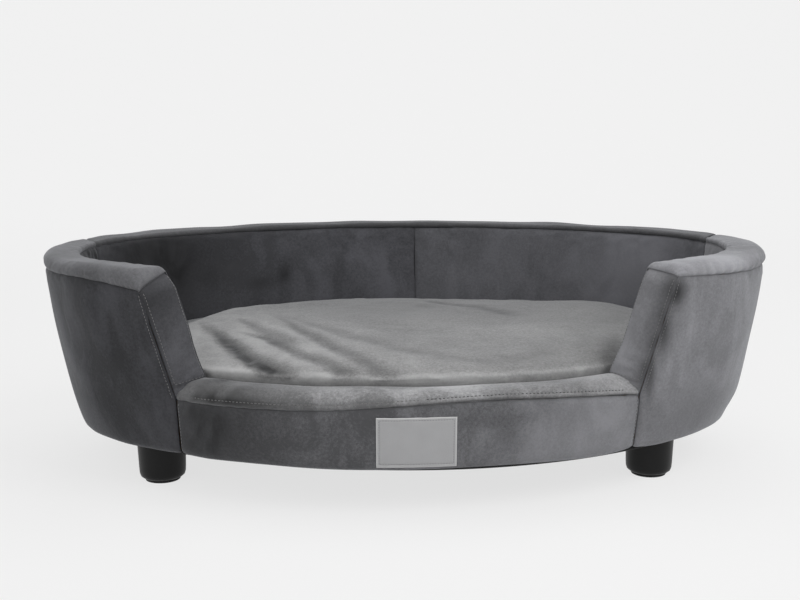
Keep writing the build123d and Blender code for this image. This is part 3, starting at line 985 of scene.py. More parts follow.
@dataclass
class Stitching:
    """Rows of thread, each stitch a short bead pressed into the cloth."""

    name: str
    pitch: float = 4.2 * MM
    length: float = 3.1 * MM
    radius: float = 0.42 * MM
    bm: bmesh.types.BMesh = field(default_factory=bmesh.new)

    def row(self, points: Array, normals: Array) -> None:
        """Add one row of stitches along a line.

        Args:
            points: Points of the line, close together.
            normals: Outward normal of the cloth at each.
        """
        marks = np.concatenate([[0], np.cumsum(np.linalg.norm(np.diff(points, axis=0), axis=1))])
        count = int(marks[-1] / self.pitch)
        for i in range(count):
            middle = (i + 0.5) * marks[-1] / count
            spots = [
                Vector([np.interp(middle + shift, marks, points[:, k]) for k in range(3)])
                for shift in (-self.length / 2, 0, self.length / 2)
            ]
            along = (spots[2] - spots[0]).normalized()
            up = Vector([np.interp(middle, marks, normals[:, k]) for k in range(3)]).normalized()
            side = along.cross(up).normalized()
            turn = Matrix((along, side, side.cross(along))).transposed().to_4x4()
            scale = Matrix.Diagonal((self.length / 2, self.radius, self.radius * 0.8, 1.0))
            place = Matrix.Translation(spots[1]) @ turn @ scale
            bmesh.ops.create_icosphere(self.bm, subdivisions=1, radius=1.0, matrix=place)

    def build(self) -> Piece:
        """Make the rows one mesh."""
        return finish_mesh(self.name, self.bm)


# Sub-assemblies


@dataclass
class Seams:
    """Cuts and heights that the wall's pieces share."""

    gap_half_width: float = 0.262
    face_turn: float = math.radians(43)
    face_lean: float = math.radians(9)
    sill_seam: float = 0.120
    rim_seam: float = 0.252
    rim_top: float = 0.270
    inner_band_seam: float = 0.264
    band_reach: float = 0.238
    sill_top: float = 0.140
    hem: float = 0.0525
    board_top: float = 0.0665
    hem_width: float = 0.032
    thickness: float = 0.044
    rim_round: float = 0.012
    inner_rim_round: float = 0.0045
    sill_round: float = 0.018
    sill_inner_round: float = 0.009
    foot_flare: float = 8 * MM
    left_flare: float = 8.5 * MM
    right_flare: float = 2 * MM
    end_swell: float = 5 * MM
    corner_draw: float = 8 * MM
    corner_top: float = 0.106
    bottom_round: float = 0.008
    back_seam: float = 0.330
    side_seam: float = 0.372
    side_turn: float = math.radians(33)
    centre_seam: float = 0.022
    BAND_TURN: ClassVar = (-62, -57, -52, -45, -38, 200, 218, 230, 236, 239, 242)
    BAND_RISE: ClassVar = (6.0, 3.5, 1.5, 1.2, 0.0, 0.0, 2.0, 3.0, 1.0, -3.0, -6.5)
    SILL_X: ClassVar = (-0.262, -0.235, -0.142, -0.075, -0.011, 0.060, 0.110, 0.180, 0.235, 0.262)
    SILL_Z: ClassVar = (
        0.1205, 0.1185, 0.1190, 0.1215, 0.1260, 0.1300, 0.1305, 0.1275, 0.1240, 0.1210,
    )

    def corner(self, side: Side) -> Vector:
        """Where an arm's end face meets the outer cloth at the sill seam."""
        inset = OVAL.lean(self.sill_seam)
        reach = OVAL.side_radius - inset
        angle = -math.acos(side.value * self.gap_half_width / reach)
        x, y = OVAL.spot(np.array([angle]), np.array([inset]))
        return Vector((float(x[0]), float(y[0]), self.sill_seam))

    def face(self, side: Side) -> Cut:
        """Plane of an arm's end face, its normal pointing into the opening."""
        turn, lean = self.face_turn, self.face_lean
        level = (-side.value * math.cos(turn) * math.cos(lean), -math.sin(turn) * math.cos(lean))
        return Cut(Vector((*level, math.sin(lean))), self.corner(side))

    def end_angle(self, side: Side) -> CutAngle:
        """Direction of the outline's normal at an arm's end, above and below the sill seam.

        Args:
            side: Which arm.

        Returns:
            A function of insets and heights.
        """
        above, below = self.face(side), Cut(Vector((1, 0, 0)), self.corner(side))
        low = -math.pi / 2 + side.value * math.radians(8)
        high = -math.pi / 2 + side.value * math.radians(34)

        def angle(inset: Array, height: Array) -> Array:
            """Choose the leaning face above the seam and the upright one below."""
            upper = above.angle(inset, height, low, high)
            lower = below.angle(inset, height, low, high)
            return np.where(height >= self.sill_seam, upper, lower)

        return angle

    def outer(self) -> Section:
        """Hem, lower edge and outer face, up past the rim band's lowest seam."""
        foot, head = self.hem, self.rim_seam + 9 * MM
        low, high = OVAL.lean(foot), OVAL.lean(head)
        corners = [(low + self.hem_width, foot), (low, foot), (high, head)]
        return Section.through(corners, [self.bottom_round])

    def rim(self) -> Section:
        """Over the rim, from below the outer seam to the inner one."""
        low, top = OVAL.lean(self.band_reach), OVAL.lean(self.rim_top)
        inner = OVAL.lean(self.inner_band_seam) + self.thickness
        corners = [(low, self.band_reach), (top, self.rim_top)]
        corners += [(top + self.thickness, self.rim_top), (inner, self.inner_band_seam)]
        return Section.through(corners, [self.rim_round, self.inner_rim_round])

    def inner(self) -> Section:
        """Inner face, from the band's inner seam down to the board."""
        head, foot = self.inner_band_seam, self.board_top
        middle = (head + foot) / 2
        corners = [(OVAL.lean(z) + self.thickness, z) for z in (head, middle, foot)]
        return Section.through(corners, [0.05])

    def band_seam(self, around: Array) -> Array:
        """Height of the rim band's outer seam, which sinks or climbs beside the arms' ends."""
        turn = np.degrees(angle_at(around))
        turn = np.where(turn > 270, turn - 360, turn)
        return self.rim_seam + np.interp(turn, self.BAND_TURN, self.BAND_RISE) * MM

    def band_end(self, side: Side) -> float:
        """Height of that seam at an arm's end."""
        rise = self.BAND_RISE[0] if side is Side.RIGHT else self.BAND_RISE[-1]
        return self.rim_seam + rise * MM

    def flare(self, side: Side, height: Array) -> Array:
        """How far an arm's end face spreads into the opening, over the sill and high up.

        Args:
            side: Which arm.
            height: Heights on its inner edge.

        Returns:
            A distance for each height.
        """
        foot = self.foot_flare * soft_step(height, 0.188, 0.136)
        full = soft_step(height, 0.150, 0.205) * (1 - 0.85 * soft_step(height, 0.243, 0.264))
        return foot + (self.left_flare if side is Side.LEFT else self.right_flare) * full

    def swell(self, angle: Array, inset: Array, height: Array) -> Array:
        """How far the padding stands out of the even outline, or in under the body's corners.

        Args:
            angle: Directions of the outline's normal.
            inset: Distances inside the widest outline.
            height: Heights of the same points.

        Returns:
            Distances outwards.
        """
        end = np.degrees(np.arctan2(np.sin(angle), np.abs(np.cos(angle))))
        fuller = self.end_swell * bell(end + 14, 30) * (np.cos(angle) > 0)
        fuller = fuller * soft_step(height, 0.062, 0.098)
        drop = np.clip((self.corner_top - height) / (self.corner_top - self.hem), 0, 1)
        corner = bell(np.abs(end) - 38, 27)
        outermost = 1 - np.clip((inset - OVAL.lean(height)) / self.thickness, 0, 1)
        return (fuller - self.corner_draw * corner * (1 - np.sqrt(1 - drop**2))) * outermost

    def sill(self) -> Section:
        """Over the sill, from its outer face down its inner side to the board."""
        foot = self.sill_seam - 6 * MM
        low, top = OVAL.lean(foot), OVAL.lean(self.sill_top)
        corners = [(low, foot), (top, self.sill_top), (top + self.thickness, self.sill_top)]
        corners.append((OVAL.lean(self.board_top) + self.thickness, self.board_top))
        return Section.through(corners, [self.sill_round, self.sill_inner_round])

    def sill_line(self, around: Array) -> Array:
        """Height of the hand-sewn sill seam, which wanders, for lengths round the outline."""
        x, _ = OVAL.spot(angle_at(around), np.full_like(around, OVAL.lean(self.sill_seam)))
        return np.interp(x, self.SILL_X, self.SILL_Z)


SEAMS = Seams()


def constant(amount: float) -> Level:
    """A height that is the same all round."""
    return lambda around: np.full_like(around, amount)


def cut_angle(cut: Cut, low: float, high: float) -> CutAngle:
    """A cut along a plane, looked for between two directions."""
    return lambda inset, height: cut.angle(inset, height, low, high)


def turn_on(cut: CutAngle) -> CutAngle:
    """The same cut, its directions named a full turn on."""
    return lambda inset, height: cut(inset, height) + 2 * math.pi


@dataclass
class Wall:
    """Covers of the wall: outside, rim band, inside and the arms' end faces."""

    velvet: dict[str, Material]
    thread: dict[Side, Material]
    gusset_bulge: float = 4.0 * MM
    gusset_dip: float = 2.0 * MM
    gusset_dip_reach: float = 2.8 * MM
    gusset_tuck_reach: float = 3.2 * MM
    cap_turn: float = 11 * MM
    row_gap: float = 3.8 * MM
    hollow_depth: float = 2.2 * MM
    hollow_height: float = 0.116
    band_fill: float = 0.85
    panels: dict[str, Panel] = field(default_factory=dict)

    def build(self) -> None:
        """Make every cover of the wall and sew its rows."""
        self._outer()
        self._inner()
        for side in Side:
            self._rim_side(side)
            self._gusset(side)
        self._rim_back()
        self._front_seam_rows()

    def _back_cut(self, side: Side) -> CutAngle:
        """Upright seam of the outer cover at the back."""
        cut = Cut(Vector((1, 0, 0)), Vector((side.value * SEAMS.back_seam, 0, 0)))
        return cut_angle(cut, side.turn(30), side.turn(90))

    def _side_cut(self, side: Side) -> CutAngle:
        """Slanted seam of the rim band and inner cover near an end of the bed."""
        turn = SEAMS.side_turn
        normal = Vector((side.value * math.cos(turn), -math.sin(turn), 0))
        cut = Cut(normal, Vector((side.value * SEAMS.side_seam, OVAL.back_shift, 0)))
        return cut_angle(cut, side.turn(-10), side.turn(85))

    def _outer(self) -> None:
        """Make the four outer covers."""
        s, section = SEAMS, SEAMS.outer()
        left_end, right_end = s.end_angle(Side.LEFT), s.end_angle(Side.RIGHT)
        left_back, right_back = self._back_cut(Side.LEFT), self._back_cut(Side.RIGHT)
        hem = constant(0.0)

        def top(around: Array) -> Array:
            """Top edge of a side or back cover, along the rim band's seam."""
            return section.length_at_height(s.band_seam(around))

        def crease(around: Array, along: Array, points: Array) -> Array:
            """One small pinch high on the left arm."""
            x = points[:, 0] + 0.352
            spot = bell(x, 11 * MM) * (points[:, 1] < 0)
            return spot * bell(points[:, 2] - 0.2235 - x * 0.45, 2.0 * MM) * 1.8 * MM

        def sill_top(around: Array) -> Array:
            """Top edge of the front cover, along the wandering seam."""
            return section.length_at_height(s.sill_line(around))

        self.panels["left"] = Panel(
            "outer_cover_left_velvet", section, left_back, turn_on(left_end), hem, top, seed=11,
            bulge=5.5 * MM, dips=(0.6, 0.65, 0, 1), tucks=(None, s.face(Side.LEFT).normal),
            extra=crease,
        )
        self.panels["right"] = Panel(
            "outer_cover_right_velvet", section, right_end, right_back, hem, top, seed=12,
            bulge=5.5 * MM, dips=(0.8, 0.6, 0, 1), tucks=(s.face(Side.RIGHT).normal, None),
        )
        self.panels["back"] = Panel(
            "outer_cover_back_velvet", section, right_back, left_back, hem, top, seed=13,
            bulge=4.5 * MM, dips=(0.6, 0.6, 0, 1),
        )
        self.panels["front"] = Panel(
            "outer_cover_front_velvet", section, left_end, right_end, hem, sill_top, seed=14,
            bulge=3.5 * MM, dips=(0.3, 0.35, 0, 1),
        )
        stands_for = {
            "left": ["outer_cover_left", "outer_wadding"],
            "right": ["outer_cover_right"],
            "back": ["outer_cover_back"],
            "front": ["outer_cover_front", "front_wadding"],
        }
        for key, nodes in stands_for.items():
            upholster(self.panels[key].build(), self.velvet[f"outer_{key}"], nodes)

    def _inner(self) -> None:
        """Make the four inner covers."""
        s, section = SEAMS, SEAMS.inner()
        centre = Cut(Vector((1, 0, 0)), Vector((s.centre_seam, 0, 0)))
        middle = cut_angle(centre, math.radians(60), math.radians(120))
        left_side, right_side = self._side_cut(Side.LEFT), self._side_cut(Side.RIGHT)
        spans = {
            "inner_cover_left": (left_side, turn_on(s.end_angle(Side.LEFT))),
            "inner_cover_right": (s.end_angle(Side.RIGHT), right_side),
            "inner_cover_back_left": (middle, left_side),
            "inner_cover_back_right": (right_side, middle),
        }

        def pressed(around: Array, along: Array, points: Array) -> Array:
            """Hollow that the cushion's edge has pressed along the cloth."""
            return -self.hollow_depth * bell(points[:, 2] - self.hollow_height, 20 * MM)

        tucks = {
            "inner_cover_left": (None, s.face(Side.LEFT).normal),
            "inner_cover_right": (s.face(Side.RIGHT).normal, None),
        }
        for i, (node, (start, stop)) in enumerate(spans.items()):
            side = Side.LEFT if "left" in node else Side.RIGHT
            panel = Panel(
                f"{node}_velvet", section, start, stop,
                constant(0.0), constant(section.lengths[-1]),
                bulge=1.0 * MM, seed=31 + i, dips=(0.7, 0.7, 1, 0), dip_depth=1.8 * MM,
                dip_reach=3.2 * MM, tucks=tucks.get(node, (None, None)),
                flare=lambda height, side=side: s.flare(side, height), extra=pressed,
            )
            nodes = [node] + (["inner_wall_foam"] if i == 0 else [])
            upholster(panel.build(), self.velvet[node], nodes)

    def _rim_back(self) -> None:
        """Make the rim band behind the side seams."""
        section = SEAMS.rim()
        panel = Panel(
            "rim_band_back_velvet", section, self._side_cut(Side.RIGHT), self._side_cut(Side.LEFT),
            self._band_low(section), constant(section.lengths[-1]), bulge=1.0 * MM, seed=22,
            dip_depth=1.6 * MM, dip_reach=2.8 * MM, pucker=0.3 * MM, dips=(0.6, 0.6, 1, 1),
        )
        nodes = ["rim_band_back", "rim_foam"]
        upholster(panel.build(), self.velvet["rim_back"], nodes)

    def _band_low(self, section: Section) -> Level:
        """Length along the rim's section where the band's outer seam runs."""
        rising = section.heights[: int(np.argmax(section.heights)) + 1]

        def low(around: Array) -> Array:
            """Look the seam's height up on the outer face."""
            return np.interp(SEAMS.band_seam(around), rising, section.lengths[: len(rising)])

        return low

    def _rim_side(self, side: Side) -> None:
        """Make a side of the rim band, closed over the arm's end.

        Args:
            side: Which arm.
        """
        s, section = SEAMS, SEAMS.rim()
        width = section.lengths[-1]
        left = side is Side.LEFT
        cuts = [s.end_angle(side), self._side_cut(side)]
        if left:
            cuts = [cuts[1], turn_on(cuts[0])]

        def puckers(around: Array, along: Array, points: Array) -> Array:
            """Short gathers beside the outer seam, near the arm's end."""
            across = along - low(around)
            sizes = (-0.335, 0.034, 7.0, 0.8) if left else (0.372, 0.040, 17.0, 1.1)
            place, reach, pitch, rise = sizes
            near = bell(points[:, 0] - place, reach) * (points[:, 1] < 0)
            near = near * bell(across, 9 * MM) * soft_step(across, 0, 3 * MM)
            gathers = near * np.sin(around * 2 * math.pi / (pitch * MM)) * rise * MM
            if left:
                return gathers
            corner = bell(points[:, 0] - 0.298, 13 * MM) * (points[:, 1] < 0)
            fold = bell(across - 4.5 * MM, 1.5 * MM) - 0.9 * bell(across - 7.5 * MM, 1.3 * MM)
            return gathers + 1.5 * MM * corner * fold

        low = self._band_low(section)
        panel = Panel(
            f"rim_band_{side.word}_velvet", section, *cuts, low, constant(width),
            bulge=1.6 * MM, seed=23 + side.value, dip_depth=1.8 * MM, dip_reach=3.4 * MM,
            extra=puckers, pucker=0.35 * MM, dips=(0.6, 0, 1, 1) if left else (0, 0.6, 1, 1),
        )
        turn, normal = self.cap_turn, np.array(s.face(side).normal)

        def shape(u: Array, v: Array) -> tuple[Array, Array]:
            """Shape the band, its last rows rolled over the arm's end to the seam there."""
            run, across = crowded(u if left else 1 - u, 0.5), crowded(v)
            along = across * width
            for _ in range(PASSES):
                first, last = panel.ends(along)
                near, far = (first, last) if left else (last, first)
                total = np.abs(far - near)
                length = run * (total + turn * 0.75)
                curl = np.clip((length - (total - turn)) / (turn * 1.75), 0, 1) * math.pi / 2
                around = near + np.sign(far - near) * np.minimum(length, total - turn)
                lowest = low(around)
                along = lowest + across * (width - lowest)
            points, _, seam = panel.place(around, along)
            corner, _, _ = panel.place(far, low(far) + across * (width - low(far)))
            corner += np.outer(s.flare(side, corner[:, 2]) * across**1.6, normal)
            sewn, _ = self.gusset_point(side, across, self._gusset_top(side, across))
            capped = corner + (points - corner) * (1 - np.sin(curl))[:, None]
            capped += (sewn - corner) * (1 - np.cos(curl))[:, None]
            # The roll over the arm's end joins the seam share, which the velvet paints as
            # seam-groove shade.
            edge = np.exp(-(math.pi / 2 - curl) * 7.0) * (curl > 0)
            return np.where((curl > 0)[:, None], capped, points), np.clip(seam + edge, 0, 1)

        span = panel.ends(np.array([width / 2]))
        columns = int(abs(span[1][0] - span[0][0]) / (2.4 * MM))
        made = grid_object(panel.name, columns, 50, shape)
        thicken(made)
        velvet = self.velvet[f"rim_{side.word}"]
        upholster(made, velvet, [f"rim_band_{side.word}"])

    def gusset_point(
        self, side: Side, across: Array, height: Array, lift: float = 0.0
    ) -> tuple[Array, Array]:
        """Points of an arm's end face.

        Args:
            side: Which arm.
            across: Shares from the outer edge to the inner one.
            height: Heights.
            lift: Height above the cloth.

        Returns:
            The points, and how near a seam each lies.
        """
        s = SEAMS
        edge = s.end_angle(side)
        inset = OVAL.lean(height)
        corners = []
        for depth in (inset, inset + s.thickness):
            turn = edge(depth, np.maximum(height, s.sill_seam))
            x, y = OVAL.spot(turn, depth)
            corners.append(np.stack([x, y, height], axis=1))
        points = corners[0] + (corners[1] - corners[0]) * across[:, None]
        outward = np.stack([np.cos(turn), np.sin(turn), np.zeros_like(turn)], axis=1)
        points += outward * (s.swell(turn, inset, height) * (1 - across))[:, None]
        width = np.linalg.norm(corners[1] - corners[0], axis=1)
        top, foot = self._gusset_top(side, across), self._gusset_foot(across)
        gaps = [across * width, (1 - across) * width, np.abs(height - self._cross_seam(across))]
        gaps += [np.abs(top - height), height - foot]
        full = np.sin(math.pi * np.clip(across, 0, 1)) ** 0.55 * soft_step(gaps[3], 0, 14 * MM)
        upper = soft_step(height, 0.125, 0.165)
        out = self.gusset_bulge * full * (0.3 + 0.7 * upper) + s.flare(side, height) * across**1.6
        weights = (1, 1, 0.45, 1, 0.6)
        dips = [bell(gap, self.gusset_dip_reach, SEAM_SHARPNESS) for gap in gaps]
        dip = sum(weight * depth for weight, depth in zip(weights, dips))
        fine = Ripples(71 + side.value, 8 * MM, 20 * MM)
        broad = Ripples(75 + side.value, 0.03, 0.08)
        folds = bell(height - 0.150, 12 * MM) * across
        out += full * ((0.35 + 0.9 * folds) * MM * fine(points) + 0.8 * MM * broad(points))
        out -= self.gusset_dip * np.clip(dip, 0, 1)
        seam = np.clip(sum(w * np.exp(-gap / SEAM_REACH) for w, gap in zip(weights, gaps)), 0, 1)
        outer, inner = (bell(gap, self.gusset_tuck_reach, SEAM_SHARPNESS) for gap in gaps[:2])
        moved = points + np.outer(out + lift, np.array(s.face(side).normal))
        return moved + outward * (self.gusset_dip * (inner - outer))[:, None], seam

    def _cross_seam(self, across: Array) -> Array:
        """Height of the seam across the foot of an arm's end face."""
        return 0.1345 + 0.0045 * across

    def _gusset_foot(self, across: Array) -> Array:
        """Height of the end face's lower edge, which climbs from the sill seam over the sill."""
        return SEAMS.sill_seam - 0.5 * MM + 0.019 * across

    def _gusset_top(self, side: Side, across: Array) -> Array:
        """Height of the end face's upper edge, between the band's two seams."""
        low, high = SEAMS.band_end(side), SEAMS.inner_band_seam
        return low + (high - low) * across**0.8

    def _gusset(self, side: Side) -> None:
        """Make an arm's end face, with its rows of stitches.

        Args:
            side: Which arm.
        """
        s = SEAMS

        def shape(u: Array, v: Array) -> tuple[Array, Array]:
            """Shape the face from its foot, over the sill, to the band's seam."""
            across = crowded(u if side is Side.RIGHT else 1 - u, 0.8)
            foot, top = self._gusset_foot(across), self._gusset_top(side, across)
            return self.gusset_point(side, across, foot + crowded(v, 0.5) * (top - foot))

        made = grid_object(f"arm_gusset_{side.word}_velvet", 44, 120, shape)
        face_outwards(made, s.corner(side) - 0.2 * s.face(side).normal)
        thicken(made)
        nodes = [f"arm_gusset_{side.word}", f"arm_end_foam_{side.word}"]
        upholster(made, self.velvet[f"gusset_{side.word}"], nodes)
        self._gusset_rows(side)

    def _gusset_rows(self, side: Side) -> None:
        """Sew the rows round an arm's end face, and the one beside it on the outer cover.

        Args:
            side: Which arm.
        """
        rows = Stitching(f"arm_gusset_{side.word}_stitches", pitch=3.8 * MM)
        normal = np.array(SEAMS.face(side).normal)

        def sew(across: Array, height: Array) -> None:
            """Add a row of stitches along a line on the end face."""
            points, _ = self.gusset_point(side, across, height, STITCH_LIFT)
            rows.row(points, np.tile(normal, (len(points), 1)))

        for share, foot in ((0.085, 0.139), (0.925, 0.150)):
            top = float(self._gusset_top(side, np.array([share]))[0]) - 4 * MM
            sew(np.full(60, share), np.linspace(foot, top, 60))
        across = np.linspace(0.08, 0.92, 30)
        sew(across, self._cross_seam(across) + 3.2 * MM)
        panel = self.panels[side.word]
        heights = np.linspace(0.123, SEAMS.band_end(side) - 4 * MM, 70)
        along = panel.section.length_at_height(heights)
        first, last = panel.ends(along)
        panel.sew(rows, last - self.row_gap if side is Side.LEFT else first + self.row_gap, along)
        dress(rows.build(), self.thread[Side.LEFT], Body.SOFA)

    def _front_seam_rows(self) -> None:
        """Sew the row beside each upright seam of the front."""
        panel = self.panels["front"]
        along = panel.section.length_at_height(np.linspace(0.062, 0.117, 40))
        first, last = panel.ends(along)
        for side, around in ((Side.LEFT, first + 1.6 * MM), (Side.RIGHT, last - 1.6 * MM)):
            rows = Stitching(f"front_seam_{side.word}_stitches")
            panel.sew(rows, around, along)
            dress(rows.build(), self.thread[side], Body.SOFA)


@dataclass
class Sill:
    """The padded roll between the arms, with its wandering seam and row of stitches."""

    velvet: Material
    thread: dict[Side, Material]
    end_sink: float = 5.5 * MM
    row_height: float = 6.8 * MM
    groove_depth: float = 0.7 * MM
    band_rise: float = 0.5 * MM

    def build(self) -> None:
        """Make the roll and its rows of stitches."""
        s, section = SEAMS, SEAMS.sill()
        crest = section.lengths[np.argmax(section.heights)]
        outer = section.lengths <= crest

        def low(around: Array) -> Array:
            """Foot of the roll, along the wandering seam."""
            return np.interp(s.sill_line(around), section.heights[outer], section.lengths[outer])

        def worn(around: Array, along: Array, points: Array) -> Array:
            """Front edge of the roll sunk beside the arms, and a groove along its stitches."""
            ends = bell(np.abs(points[:, 0]) - s.gap_half_width, 42 * MM)
            edge = bell(along - crest * 0.72, 13 * MM)
            row = along - low(around) - self.row_height
            groove = bell(row, 1.5 * MM) * self.groove_depth
            band = bell(row + 3.4 * MM, 2.2 * MM) * self.band_rise
            return band - self.end_sink * ends * edge - groove

        panel = Panel(
            "sill_cover_velvet", section, s.end_angle(Side.LEFT), s.end_angle(Side.RIGHT), low,
            constant(section.lengths[-1]), bulge=1.0 * MM, seed=41, dips=(0.3, 0.3, 1, 0),
            dip_depth=1.8 * MM, dip_reach=3.0 * MM, pucker=0.45 * MM, extra=worn,
        )
        upholster(panel.build(2.8 * MM), self.velvet, ["sill_cover", "sill_foam"])
        for side, reach in ((Side.LEFT, (-0.252, 0.012)), (Side.RIGHT, (0.018, 0.256))):
            rows = Stitching(f"sill_{side.word}_stitches", pitch=4.4 * MM, radius=0.55 * MM)
            first, last = (float(length_at(-math.acos(x / OVAL.side_radius))) for x in reach)
            around = np.linspace(first, last, 200)
            panel.sew(rows, around, low(around) + self.row_height, 0.25 * MM)
            dress(rows.build(), self.thread[side], Body.SOFA)


@dataclass
class Label:
    """The sewn patch on the front, bare inside its stitched border."""

    leatherette: Material
    thread: Material
    front: Panel
    left: float = -0.037
    right: float = 0.051
    bottom: float = 0.057
    top: float = 0.115
    thickness: float = 1.2 * MM
    border: float = 3.2 * MM
    press: float = 0.35 * MM
    edge_fall: float = 0.5 * MM

    def _on_front(self, across: Array, up: Array, lift: float) -> tuple[Array, Array]:
        """Lay points of the patch on the front cover.

        Args:
            across: Shares of the patch's width.
            up: Shares of its height.
            lift: Height above the cloth.

        Returns:
            The points and the cloth's outward normals.
        """
        height = self.bottom + up * (self.top - self.bottom)
        along = self.front.section.length_at_height(height)
        inset, _ = self.front.section.at(along)
        x = self.left + across * (self.right - self.left)
        angle = -np.arccos(x / (OVAL.side_radius - inset))
        points, normals, _ = self.front.place(length_at(angle), along, lift)
        return points, normals

    def build(self) -> None:
        """Make the patch and its border of stitches."""
        width, rise = self.right - self.left, self.top - self.bottom

        def shape(u: Array, v: Array) -> tuple[Array, Array]:
            """Shape the patch, its border pressed by the stitches."""
            across, up = crowded(u, 0.5), crowded(v, 0.5)
            sides = [across * width, (1 - across) * width, up * rise, (1 - up) * rise]
            edge = np.minimum.reduce(sides)
            points, normals = self._on_front(across, up, self.thickness)
            press = bell(edge - self.border, 0.9 * MM) * self.press
            fall = bell(edge, 0.7 * MM, 1.5) * self.edge_fall
            return points - normals * (press + fall)[:, None], np.exp(-edge / (0.9 * MM))

        made = grid_object("label_patch_leatherette", 96, 66, shape)
        thicken(made, self.thickness)
        dress(made, self.leatherette, Body.SOFA, ["label_patch"])
        rows = Stitching("label_stitches", pitch=3.0 * MM, length=2.3 * MM, radius=0.28 * MM)
        a, b = self.border / width, self.border / rise
        line = np.linspace(0, 1, 60)
        borders = [(a + line * (1 - 2 * a), np.full(60, up)) for up in (b, 1 - b)]
        borders += [(np.full(60, across), b + line * (1 - 2 * b)) for across in (a, 1 - a)]
        for across, up in borders:
            rows.row(*self._on_front(across, up, self.thickness - 0.2 * MM))
        dress(rows.build(), self.thread, Body.SOFA)


